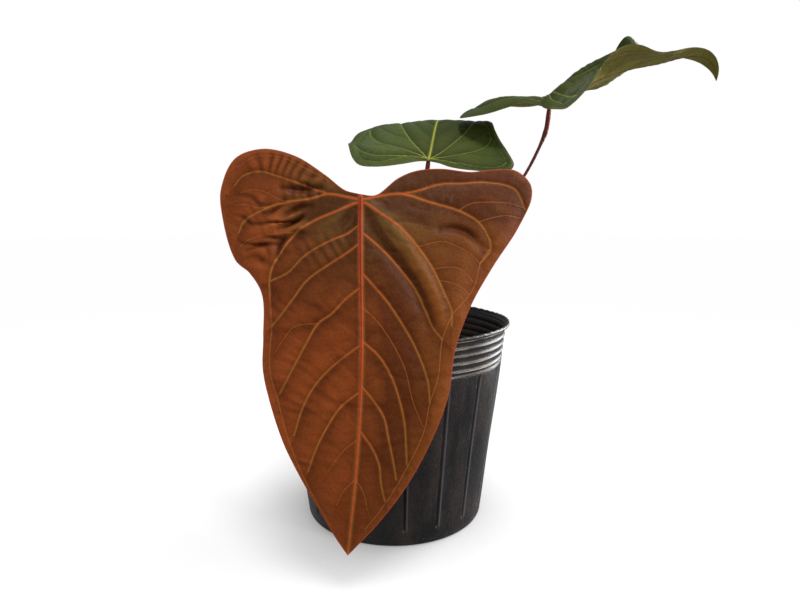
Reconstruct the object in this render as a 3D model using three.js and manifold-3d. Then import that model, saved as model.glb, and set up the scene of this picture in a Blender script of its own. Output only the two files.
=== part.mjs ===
// Potted anthurium: three heart-shaped leaves on thin petioles, a short rooted stem
// and a chunky bark mix, in a thin blow-moulded nursery pot.
// Millimetres, +Z up. The origin is the centre of the pot's underside, and -Y is the front.
import * as THREE from "three";
import { mergeVertices } from "three/addons/utils/BufferGeometryUtils.js";
import Module from "manifold-3d";

const wasm = await Module();
wasm.setup();

// ---- driving dimensions ---------------------------------------------------------------

const GAP = 0.3; // clearance kept where two pieces touch

const POT = {
  height: 141.6,
  rimRadius: 80.6, // wall at the rim, under the rolled lip
  baseRadius: 63.6,
  wall: 0.9,
  cornerHeight: 2.2, // height of the turned-in corner at the base
  cornerInset: 2.2,
  floor: 1.2,
  lip: 1.9, // how far the rolled lip stands out
  lipHeight: 2.6,
  collarHeight: 26.3, // the ridged band below the rim
  ridges: 5,
  ridgePitch: 5,
  ridgeDepth: 0.8,
  ribs: 18, // upright grooves in the wall
  ribWidth: 3,
  ribDepth: 1.1,
  ribAngle: -84, // degrees: the first groove, just right of the front
  ribBottom: 10,
  ribFade: 2.5,
  drainHoles: 8,
  drainRadius: 4.5,
  drainCircle: 45,
};

const MIX = { top: 102, lump: 2.2, sides: 32, clearance: 1.6 };

const STEM = {
  path: [[0, 1, 84], [0, 0.5, 104], [0.6, 0, 120], [1.2, -0.4, 133]],
  radii: [6.5, 9.2, 8.6, 5.2],
};

const PETIOLE = { shaft: 1.15, swelling: 1.75, base: 2.7, tip: 1.7, sides: 8 };

const BLADE_THICKNESS = 1.0;

// A leaf's flat outline is given as fractions of its length, across and along the midrib,
// from the petiole joint. Every curve below is a list of [distance along the midrib, value].
// yaw, pitch and roll (degrees) bend the midrib; lift is the angle at which each half leaves
// the midrib, and curl is how much it turns per 100 mm on the way to its margin.
const LEAVES = {
  front: {
    length: 198,
    joint: [-16.5, -112, 224],
    heading: [-90, -80],
    yaw: [[0, 0], [60, -0.5], [110, 3], [198, 7]],
    pitch: [[-20, 0], [0, 0], [100, -8], [198, -16]],
    roll: [[0, 0]],
    near: {
      lift: [[-30, -8], [0, -8], [100, -5], [198, 0]],
      curl: [[-30, -10], [60, -10], [198, 0]],
      outline: [
        [0.042, -0.025], [0.097, -0.068], [0.18, -0.122], [0.277, -0.147], [0.36, -0.125],
        [0.402, -0.045], [0.397, 0.03], [0.354, 0.155], [0.31, 0.192], [0.275, 0.25],
        [0.272, 0.37], [0.27, 0.48], [0.214, 0.655], [0.155, 0.768], [0.088, 0.872], [0.03, 0.96],
      ],
    },
    far: {
      lift: [[-30, -8], [0, -6], [100, -5], [198, 0]],
      curl: [[-30, -6], [60, -8], [198, 0]],
      outline: [
        [0.04, -0.011], [0.1, -0.058], [0.15, -0.08], [0.22, -0.088], [0.3, -0.083],
        [0.36, -0.092], [0.43, -0.093], [0.47, -0.06], [0.474, -0.02], [0.433, 0.07],
        [0.36, 0.18], [0.294, 0.293], [0.255, 0.395], [0.235, 0.53], [0.182, 0.68],
        [0.134, 0.783], [0.07, 0.894], [0.03, 0.955],
      ],
    },
    petiole: [[-3, -4, 127], [-5, -34, 168], [-11, -78, 212], [-15.5, -104, 224], [-16.5, -111.6, 224]],
    swelling: 16,
    color: "#7a4128",
  },
  back: {
    length: 145,
    joint: [24.5, 10, 254.5],
    heading: [80, 34],
    yaw: [[0, 0]],
    pitch: [[-25, -21], [0, -8], [30, 4], [55, -8], [90, -45], [145, -73]],
    roll: [[0, 3]],
    near: {
      lift: [[0, 0], [40, -2], [60, 2], [80, 0]],
      curl: [[0, -10], [40, -8], [60, -8], [80, 0]],
      outline: [
        [0.065, -0.05], [0.125, -0.11], [0.21, -0.14], [0.32, -0.13], [0.387, -0.08],
        [0.417, 0.01], [0.405, 0.09], [0.38, 0.17], [0.345, 0.26], [0.315, 0.35],
        [0.288, 0.47], [0.22, 0.65], [0.13, 0.8], [0.05, 0.93],
      ],
    },
    far: {
      lift: [[-30, 1], [0, 11], [30, 1], [145, -6]],
      curl: [[-30, -22], [0, -12], [40, -8], [60, -15], [145, -12]],
      outline: [
        [0.042, -0.05], [0.115, -0.12], [0.213, -0.155], [0.306, -0.14], [0.368, -0.08],
        [0.412, 0.03], [0.425, 0.14], [0.42, 0.25], [0.385, 0.36], [0.315, 0.48],
        [0.215, 0.65], [0.13, 0.8], [0.055, 0.93],
      ],
    },
    petiole: [[2, 3, 129], [9, 6, 180], [18, 8, 222], [23.8, 9.6, 248], [24.5, 10, 254.3]],
    swelling: 14,
    color: "#3d4f2c",
  },
  right: {
    length: 151,
    joint: [108, 5, 291],
    heading: [24, 27],
    yaw: [[0, 2], [60, 6], [120, 29], [151, 34]],
    pitch: [
      [-30, 6], [-12, 3], [0, 0], [40, -2], [62, -10], [85, -14],
      [108, -10], [124, -28], [137, -65], [151, -105],
    ],
    roll: [[0, -2], [95, 0], [115, -9], [132, -21], [151, -44]],
    near: {
      lift: [
        [-30, 30], [-18, 45], [-8, 57], [12, 70], [25, 75], [38, 59],
        [50, 45], [65, 32], [80, 24], [95, 20], [110, 11], [130, 7], [151, 0],
      ],
      curl: [
        [-30, -165], [-18, -265], [-8, -340], [12, -360], [25, -330], [38, -185],
        [50, -90], [62, -55], [75, -70], [95, -35], [110, 20],
      ],
      outline: [
        [0.07, -0.06], [0.135, -0.125], [0.195, -0.145], [0.235, -0.105], [0.248, -0.02],
        [0.245, 0.08], [0.235, 0.17], [0.225, 0.27], [0.22, 0.38], [0.205, 0.5],
        [0.165, 0.65], [0.095, 0.8], [0.025, 0.93],
      ],
    },
    far: {
      lift: [
        [-30, 35], [-10, 45], [5, 24], [30, -3], [66, -11], [78, -8],
        [88, 37], [100, 23], [114, 12], [151, 5],
      ],
      curl: [[-30, -55], [-10, -92], [5, -48], [30, -2], [60, 3], [76, 6], [90, 22], [116, 10]],
      outline: [
        [0.07, -0.06], [0.15, -0.145], [0.255, -0.22], [0.375, -0.24], [0.46, -0.185],
        [0.472, -0.06], [0.42, 0.08], [0.35, 0.22], [0.318, 0.34], [0.288, 0.46],
        [0.22, 0.63], [0.122, 0.79], [0.038, 0.93],
      ],
    },
    petiole: [
      [4.5, 0, 129], [31, -1, 166], [66, 0, 208], [92.5, 2, 244], [105, 4, 269.5],
      [107, 4.5, 276], [108.5, 5.2, 289.7],
    ],
    swelling: 22,
    color: "#4b5a33",
  },
};

// Dry papery bracts that sheathed each leaf, still standing round the top of the stem.
const BRACTS = [
  { length: 40, joint: [-9.6, 3.2, 116], heading: [160, 74], halfWidth: 8 },
  { length: 34, joint: [9.2, 6.2, 115], heading: [38, 72], halfWidth: 7.5 },
  { length: 30, joint: [7.4, -9, 114], heading: [-52, 70], halfWidth: 6.5 },
];
const BRACT_THICKNESS = 0.7;

// Roots leave the stem above the mix, arch over it and go down into it.
const ROOTS = [
  { angle: 205, start: 107, reach: 34, crest: 7, radius: 2.1 },
  { angle: 262, start: 105, reach: 29, crest: 5, radius: 1.9 },
  { angle: 318, start: 106, reach: 36, crest: 5, radius: 2.2 },
  { angle: 20, start: 107, reach: 40, crest: 6, radius: 2.3 },
  { angle: 112, start: 106, reach: 33, crest: 7, radius: 2.0 },
];
const ROOT_END = 84; // height at which a root's modelled end lies, inside the mix

// Bark pieces lying on the mix: [distance from the centre, angle, length, width, height, turn].
const CHIPS = [
  [50, 12, 19, 12, 8, 20],
  [56, 58, 16, 11, 9, 75],
  [48, 100, 20, 12, 7, 130],
  [57, 146, 17, 13, 8, 10],
  [51, 196, 21, 12, 8, 60],
  [55, 238, 16, 12, 9, 100],
  [47, 282, 19, 13, 7, 150],
  [56, 330, 18, 11, 8, 40],
];

// ---- small geometry helpers -----------------------------------------------------------

const radians = THREE.MathUtils.degToRad;

function material(color, roughness) {
  return new THREE.MeshStandardMaterial({ color, roughness, metalness: 0 });
}

function surface(vertices, faces) {
  const geometry = new THREE.BufferGeometry();
  geometry.setAttribute("position", new THREE.Float32BufferAttribute(vertices.flat(), 3));
  geometry.setIndex(faces.flat());
  return geometry;
}

function toManifold(geometry) {
  const bare = geometry.clone();
  bare.deleteAttribute("normal");
  bare.deleteAttribute("uv");
  const merged = mergeVertices(bare, 1e-4);
  return new wasm.Manifold(new wasm.Mesh({
    numProp: 3,
    vertProperties: new Float32Array(merged.attributes.position.array),
    triVerts: new Uint32Array(merged.index.array),
  }));
}

function fromManifold(solid) {
  const mesh = solid.getMesh();
  const geometry = new THREE.BufferGeometry();
  geometry.setAttribute("position", new THREE.BufferAttribute(mesh.vertProperties, 3));
  geometry.setIndex(new THREE.BufferAttribute(mesh.triVerts, 1));
  return geometry;
}

function cut(geometry, ...tools) {
  const solid = tools.reduce((rest, tool) => rest.subtract(toManifold(tool)), toManifold(geometry));
  const pieces = solid.decompose().sort((a, b) => b.volume() - a.volume());
  return fromManifold(pieces[0]);
}

// A smooth curve through [place, value] keys, held flat beyond both ends.
function keyed(keys) {
  const last = keys.length - 1;
  const slope = (i) => {
    if (last === 1) return (keys[1][1] - keys[0][1]) / (keys[1][0] - keys[0][0]);
    if (i === 0 || i === last) return 0;
    return (keys[i + 1][1] - keys[i - 1][1]) / (keys[i + 1][0] - keys[i - 1][0]);
  };
  return (place) => {
    if (place <= keys[0][0]) return keys[0][1];
    if (place >= keys[last][0]) return keys[last][1];
    let i = 0;
    while (keys[i + 1][0] < place) i += 1;
    const span = keys[i + 1][0] - keys[i][0];
    const t = (place - keys[i][0]) / span;
    const ease = t * t * (3 - 2 * t);
    return keys[i][1] * (1 - ease) + keys[i + 1][1] * ease
      + span * slope(i) * t * (1 - t) ** 2 - span * slope(i + 1) * t * t * (1 - t);
  };
}

// A closed tube along a curve; radiusAt gives its radius at each share of the length.
function sweep(points, radiusAt, steps, sides, extra = 0) {
  const curve = new THREE.CatmullRomCurve3(points.map((p) => new THREE.Vector3(...p)));
  const frames = curve.computeFrenetFrames(steps, false);
  const vertices = [];
  const faces = [];
  for (let i = 0; i <= steps; i += 1) {
    const centre = curve.getPointAt(i / steps);
    if (i === 0) centre.addScaledVector(frames.tangents[0], -extra);
    if (i === steps) centre.addScaledVector(frames.tangents[steps], extra);
    const radius = radiusAt(i / steps) + extra;
    for (let j = 0; j < sides; j += 1) {
      const angle = (2 * Math.PI * j) / sides;
      const p = centre.clone()
        .addScaledVector(frames.normals[i], radius * Math.cos(angle))
        .addScaledVector(frames.binormals[i], radius * Math.sin(angle));
      vertices.push(p.toArray());
    }
  }
  const corner = (i, j) => i * sides + (j % sides);
  for (let i = 0; i < steps; i += 1) {
    for (let j = 0; j < sides; j += 1) {
      faces.push([corner(i, j), corner(i, j + 1), corner(i + 1, j + 1)]);
      faces.push([corner(i, j), corner(i + 1, j + 1), corner(i + 1, j)]);
    }
  }
  for (let j = 1; j < sides - 1; j += 1) {
    faces.push([corner(0, 0), corner(0, j + 1), corner(0, j)]);
    faces.push([corner(steps, 0), corner(steps, j), corner(steps, j + 1)]);
  }
  return surface(vertices, faces);
}

// ---- pot ------------------------------------------------------------------------------

function potWallRadius(z) {
  return POT.baseRadius + ((POT.rimRadius - POT.baseRadius) * z) / POT.height;
}

// Angles of the wall's columns: both edges and the middle of every groove, and a panel's middle.
function potColumns() {
  const columns = [];
  const pitch = 360 / POT.ribs;
  const half = THREE.MathUtils.radToDeg(POT.ribWidth / 2 / potWallRadius(POT.height / 2));
  for (let i = 0; i < POT.ribs; i += 1) {
    const angle = POT.ribAngle + i * pitch;
    columns.push([angle - half, 0], [angle, 1], [angle + half, 0], [angle + pitch / 2, 0]);
  }
  return columns;
}

// Closed profile of the wall, each point [radius, height, share of the groove's depth].
function potProfile() {
  const collarFoot = POT.height - POT.collarHeight;
  const ribTop = collarFoot - 2;
  const at = (z, groove = 0, inset = 0) => [potWallRadius(z) - inset, z, groove];
  const outside = [
    [0, 0, 0],
    [POT.drainCircle, 0, 0],
    [POT.baseRadius - POT.cornerInset, 0, 0],
    at(POT.cornerHeight),
    at(POT.ribBottom),
    at(POT.ribBottom + POT.ribFade, 1),
    at(ribTop - POT.ribFade, 1),
    at(ribTop),
  ];
  for (let i = 0; i < POT.ridges; i += 1) {
    const foot = collarFoot + i * POT.ridgePitch;
    outside.push(at(foot, 0, POT.ridgeDepth), at(foot + POT.ridgePitch / 2, 0, 0));
  }
  const lipFoot = POT.height - POT.lipHeight;
  outside.push(at(lipFoot), [POT.rimRadius + POT.lip, lipFoot + 0.4, 0]);
  outside.push([POT.rimRadius + POT.lip, POT.height - 0.5, 0]);
  outside.push([POT.rimRadius + POT.lip - 0.6, POT.height, 0]);
  const inset = POT.wall + POT.ridgeDepth;
  const inside = [
    at(POT.height, 0, POT.wall * 0.6),
    at(lipFoot - 1, 0, inset),
    at(ribTop, 0, inset),
    at(ribTop - POT.ribFade, 1, POT.wall),
    at(POT.ribBottom + POT.ribFade, 1, POT.wall),
    at(POT.ribBottom, 0, POT.wall),
    [potWallRadius(POT.cornerHeight) - POT.wall, POT.cornerHeight + POT.floor, 0],
    [POT.baseRadius - POT.cornerInset - POT.wall, POT.floor, 0],
    [POT.drainCircle, POT.floor, 0],
    [0, POT.floor, 0],
  ];
  return [...outside, ...inside];
}

function revolve(profile, columns, grooveDepth) {
  const vertices = [];
  const rings = profile.map(([radius, z, groove]) => {
    const first = vertices.length;
    if (radius === 0) {
      vertices.push([0, 0, z]);
      return { first, single: true };
    }
    columns.forEach(([angle, share]) => {
      const r = radius - grooveDepth * groove * share;
      vertices.push([r * Math.cos(radians(angle)), r * Math.sin(radians(angle)), z]);
    });
    return { first, single: false };
  });
  const faces = [];
  for (let i = 0; i + 1 < rings.length; i += 1) {
    const low = rings[i];
    const high = rings[i + 1];
    columns.forEach((_, j) => {
      const k = (j + 1) % columns.length;
      if (!low.single) faces.push([low.first + j, low.first + k, high.first + (high.single ? 0 : k)]);
      if (!high.single) faces.push([low.first + (low.single ? 0 : j), high.first + k, high.first + j]);
    });
  }
  return surface(vertices, faces);
}

function makePot() {
  const holes = [];
  for (let i = 0; i < POT.drainHoles; i += 1) {
    const angle = radians((360 * (i + 0.5)) / POT.drainHoles);
    const hole = new THREE.CylinderGeometry(POT.drainRadius, POT.drainRadius, 6, 10);
    hole.rotateX(Math.PI / 2);
    hole.translate(POT.drainCircle * Math.cos(angle), POT.drainCircle * Math.sin(angle), 0);
    holes.push(hole);
  }
  return cut(revolve(potProfile(), potColumns(), POT.ribDepth), ...holes);
}

// ---- plant ----------------------------------------------------------------------------

class BentBlade {
  constructor(leaf) {
    this.leaf = leaf;
    const [azimuth, elevation] = leaf.heading.map(radians);
    const along = new THREE.Vector3(
      Math.cos(elevation) * Math.cos(azimuth),
      Math.cos(elevation) * Math.sin(azimuth),
      Math.sin(elevation),
    );
    const up = new THREE.Vector3(
      -Math.sin(elevation) * Math.cos(azimuth),
      -Math.sin(elevation) * Math.sin(azimuth),
      Math.cos(elevation),
    );
    const across = new THREE.Vector3().crossVectors(along, up);
    const yaw = keyed(leaf.yaw);
    const pitch = keyed(leaf.pitch);
    const roll = keyed(leaf.roll);
    this.first = -Math.ceil(leaf.length * 0.35);
    this.frames = [];
    for (let s = this.first; s <= leaf.length * 1.05 + 1; s += 1) {
      const t = along.clone().applyAxisAngle(up, -radians(yaw(s)));
      const b = across.clone().applyAxisAngle(up, -radians(yaw(s)));
      t.applyAxisAngle(b, radians(pitch(s)));
      const n = up.clone().applyAxisAngle(b, radians(pitch(s)));
      b.applyAxisAngle(t, radians(roll(s)));
      n.applyAxisAngle(t, radians(roll(s)));
      this.frames.push({ t, b, n, middle: new THREE.Vector3() });
    }
    const zero = -this.first;
    this.frames[zero].middle.set(...leaf.joint);
    for (let i = zero + 1; i < this.frames.length; i += 1) this.step(i - 1, i, 0.5);
    for (let i = zero - 1; i >= 0; i -= 1) this.step(i + 1, i, -0.5);
    this.halves = [leaf.near, leaf.far].map((half) => ({
      lift: keyed(half.lift),
      curl: keyed(half.curl),
    }));
  }

  step(from, to, half) {
    this.frames[to].middle.copy(this.frames[from].middle)
      .addScaledVector(this.frames[from].t, half)
      .addScaledVector(this.frames[to].t, half);
  }

  // The point u across and v along the blade, raised off its middle surface.
  place(u, v, raise) {
    const i = Math.min(Math.max(v - this.first, 0), this.frames.length - 1.001);
    const frame = this.frames[Math.floor(i)];
    const next = this.frames[Math.floor(i) + 1];
    const share = i - Math.floor(i);
    const mix = (key) => frame[key].clone().lerp(next[key], share);
    const side = u >= 0 ? 1 : -1;
    const half = this.halves[u >= 0 ? 0 : 1];
    const start = radians(half.lift(v));
    const bend = radians(half.curl(v)) / 100 || 1e-7;
    const end = start + bend * Math.abs(u);
    const out = (side * (Math.sin(end) - Math.sin(start))) / bend - side * Math.sin(end) * raise;
    const up = (Math.cos(start) - Math.cos(end)) / bend + Math.cos(end) * raise;
    return mix("middle").addScaledVector(mix("b"), out).addScaledVector(mix("n"), up).toArray();
  }
}

function bladeOutline(leaf, notch) {
  const near = leaf.near.outline.map(([u, v]) => [u * leaf.length, v * leaf.length]);
  const far = leaf.far.outline.map(([u, v]) => [-u * leaf.length, v * leaf.length]);
  const half = (points) => {
    const all = [[0, -notch], ...points, [0, leaf.length]];
    const curve = new THREE.CatmullRomCurve3(all.map(([u, v]) => new THREE.Vector3(u, v, 0)));
    const count = 2 * (all.length - 1);
    return Array.from({ length: count + 1 }, (_, i) => curve.getPoint(i / count));
  };
  return [...half(near), ...half(far).reverse().slice(1, -1)];
}

// A closed sheet with two faces: fans and rings from the joint out to the margin.
function makeBlade(leaf, thickness, { notch = 2.5, rings = [0.3, 0.58, 0.82, 1], grow = 0 } = {}) {
  const blade = new BentBlade(leaf);
  const outline = bladeOutline(leaf, notch);
  const count = outline.length;
  const vertices = [];
  const faces = [];
  [1, -1].forEach((side) => {
    const first = vertices.length;
    const raise = (side * thickness) / 2 + side * grow;
    vertices.push(blade.place(0, 0, raise));
    rings.forEach((share) => outline.forEach((p) => {
      const stretch = share + (share === 1 ? grow / p.length() : 0);
      vertices.push(blade.place(p.x * stretch, p.y * stretch, raise));
    }));
    const corner = (ring, j) => first + 1 + ring * count + (j % count);
    const add = (a, b, c) => faces.push(side > 0 ? [a, b, c] : [a, c, b]);
    for (let j = 0; j < count; j += 1) {
      add(first, corner(0, j), corner(0, j + 1));
      for (let i = 0; i + 1 < rings.length; i += 1) {
        add(corner(i, j), corner(i + 1, j), corner(i + 1, j + 1));
        add(corner(i, j), corner(i + 1, j + 1), corner(i, j + 1));
      }
    }
  });
  const top = 1 + (rings.length - 1) * count;
  const bottom = vertices.length / 2 + top;
  for (let j = 0; j < count; j += 1) {
    const k = (j + 1) % count;
    faces.push([top + j, bottom + j, bottom + k], [top + j, bottom + k, top + k]);
  }
  return surface(vertices, faces);
}

function curveLength(points) {
  return new THREE.CatmullRomCurve3(points.map((p) => new THREE.Vector3(...p))).getLength();
}

// A petiole is thick at its sheathing foot, slim along its shaft and swollen under the blade.
function makePetiole(leaf, stem, blade) {
  const length = curveLength(leaf.petiole);
  const swelling = 1 - leaf.swelling / length;
  const radius = keyed([
    [0, PETIOLE.base],
    [0.12, PETIOLE.shaft * 1.25],
    [0.3, PETIOLE.shaft],
    [swelling - 0.04, PETIOLE.shaft],
    [swelling + 0.03, PETIOLE.swelling],
    [0.97, PETIOLE.swelling],
    [1, PETIOLE.tip],
  ]);
  const steps = Math.round(length / 9);
  return cut(sweep(leaf.petiole, radius, steps, PETIOLE.sides), stem, blade);
}

function makeStem(extra = 0) {
  const share = (i) => i / (STEM.radii.length - 1);
  const radius = keyed(STEM.radii.map((r, i) => [share(i), r]));
  const knobbly = (t) => radius(t) + 0.5 * Math.cos(t * 34);
  return sweep(STEM.path, knobbly, 12, 12, extra);
}

function makeRoot(root, extra = 0) {
  const angle = radians(root.angle);
  const at = (distance, z) => [distance * Math.cos(angle), distance * Math.sin(angle), z];
  const path = [
    at(6, root.start),
    at(root.reach * 0.4, root.start + root.crest * 0.35),
    at(root.reach * 0.75, root.start - root.crest * 0.6),
    at(root.reach, MIX.top - 2),
    at(root.reach + 3, ROOT_END),
  ];
  return sweep(path, (t) => root.radius * (1 - 0.3 * t), 12, 8, extra);
}

function makeBract({ length, joint, heading, halfWidth }) {
  const half = {
    lift: [[0, 14], [length, 4]],
    curl: [[0, 420], [length, 160]],
    outline: [[0.5, 0.02], [0.95, 0.12], [1, 0.35], [0.72, 0.66], [0.3, 0.9]]
      .map(([u, v]) => [(u * halfWidth) / length, v]),
  };
  const leaf = {
    length, joint, heading, yaw: [[0, 0]], pitch: [[0, 0], [length, -14]], roll: [[0, 180]],
    near: half, far: half,
  };
  return makeBlade(leaf, BRACT_THICKNESS, { notch: 0.5, rings: [0.5, 1] });
}

// ---- potting mix ----------------------------------------------------------------------

function mixHeight(x, y) {
  const waves = Math.sin(x * 0.19 + 1) * Math.cos(y * 0.23) + 0.6 * Math.sin((x + y) * 0.41);
  return MIX.top + MIX.lump * waves * 0.6 - 0.0006 * (x * x + y * y);
}

function makeMix(tools) {
  const outer = (z) => potWallRadius(z) - POT.wall - POT.ribDepth - MIX.clearance;
  const columns = Array.from({ length: MIX.sides }, (_, i) => [(360 * i) / MIX.sides, 0]);
  const low = POT.floor + GAP;
  const shoulder = MIX.top - 8;
  const corner = POT.cornerHeight + POT.floor + 3;
  const profile = [[0, low, 0], [outer(low) - 6, low, 0], [outer(corner), corner, 0]];
  profile.push([outer(shoulder), shoulder, 0]);
  [1, 0.8, 0.6, 0.4, 0.2].forEach((share) => profile.push([outer(MIX.top) * share, MIX.top, 0]));
  profile.push([0, MIX.top, 0]);
  const body = revolve(profile, columns, 0);
  const position = body.attributes.position;
  for (let i = 0; i < position.count; i += 1) {
    if (position.getZ(i) === MIX.top) {
      position.setZ(i, mixHeight(position.getX(i), position.getY(i)));
    }
  }
  return cut(body, ...tools);
}

function makeChip([distance, angle, length, width, height, turn], extra = 0) {
  const chip = new THREE.DodecahedronGeometry(0.62, 0);
  chip.scale(length + 2 * extra, width + 2 * extra, height + 2 * extra);
  chip.rotateX(radians(((turn * 7) % 30) - 15));
  chip.rotateZ(radians(turn));
  const x = distance * Math.cos(radians(angle));
  const y = distance * Math.sin(radians(angle));
  chip.translate(x, y, mixHeight(x, y) + height * 0.12);
  return chip;
}

// ---- assembly -------------------------------------------------------------------------

const plant = new THREE.Group();

function addPiece(name, geometry, finish) {
  const mesh = new THREE.Mesh(geometry, finish);
  mesh.name = name;
  plant.add(mesh);
}

addPiece("nursery_pot", makePot(), material("#1b1a1d", 0.45));

const mixTools = [
  makeStem(GAP),
  ...ROOTS.map((root) => makeRoot(root, GAP)),
  ...CHIPS.map((chip) => makeChip(chip, GAP)),
];
addPiece("potting_mix", makeMix(mixTools), material("#4a3626", 0.95));

addPiece("stem", makeStem(), material("#5d5138", 0.85));

Object.entries(LEAVES).forEach(([place, leaf]) => {
  const grown = makeBlade(leaf, BLADE_THICKNESS, { grow: GAP });
  addPiece(`petiole_${place}`, makePetiole(leaf, makeStem(GAP), grown), material("#6e2a2a", 0.55));
  addPiece(`blade_${place}`, makeBlade(leaf, BLADE_THICKNESS), material(leaf.color, 0.55));
});

BRACTS.forEach((bract, i) => {
  addPiece(`bract_${i + 1}`, makeBract(bract), material("#8a6a45", 0.8));
});

ROOTS.forEach((root, i) => {
  addPiece(`root_${i + 1}`, cut(makeRoot(root), makeStem(GAP)), material("#b59a72", 0.8));
});

CHIPS.forEach((chip, i) => {
  addPiece(`bark_chip_${i + 1}`, makeChip(chip), material("#6b4a30", 0.9));
});

export default plant;
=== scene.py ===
"""Potted anthurium: the finish of its leaves, petioles, stem, roots, potting mix and nursery pot.

It is laid out as an add-on. One operator makes each piece or group of like pieces round the
frame, and one sets the stage. Sizes in this file are millimetres unless a property says
otherwise, and every mesh is written in metres.
"""

import math

import bpy
import numpy as np
from mathutils.geometry import delaunay_2d_cdt
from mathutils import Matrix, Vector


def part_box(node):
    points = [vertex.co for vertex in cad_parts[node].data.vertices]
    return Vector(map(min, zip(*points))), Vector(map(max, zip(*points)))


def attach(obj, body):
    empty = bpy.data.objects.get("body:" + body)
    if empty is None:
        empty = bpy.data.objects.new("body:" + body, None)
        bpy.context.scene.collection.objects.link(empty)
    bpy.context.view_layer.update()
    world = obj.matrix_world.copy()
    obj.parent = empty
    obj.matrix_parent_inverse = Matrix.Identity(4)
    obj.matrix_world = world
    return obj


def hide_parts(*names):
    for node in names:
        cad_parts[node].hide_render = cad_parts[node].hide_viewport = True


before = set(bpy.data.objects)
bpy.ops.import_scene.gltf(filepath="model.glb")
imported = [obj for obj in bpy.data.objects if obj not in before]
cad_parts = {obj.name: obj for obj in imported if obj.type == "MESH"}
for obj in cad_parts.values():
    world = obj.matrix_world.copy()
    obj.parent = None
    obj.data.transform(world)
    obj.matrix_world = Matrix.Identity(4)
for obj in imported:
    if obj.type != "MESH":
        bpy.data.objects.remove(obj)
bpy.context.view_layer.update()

bl_info = {
    "name": "Potted anthurium",
    "version": (1, 0, 0),
    "blender": (4, 5, 0),
    "location": "View3D > Sidebar > Anthurium",
    "description": "Builds a potted anthurium round its frame",
    "category": "Add Mesh",
}

MM = 0.001

POT_LOW, POT_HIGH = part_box("nursery_pot")
MIX_LOW, MIX_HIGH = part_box("potting_mix")

# ---- where the plant's pieces lie, as the frame has them --------------------------------

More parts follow.
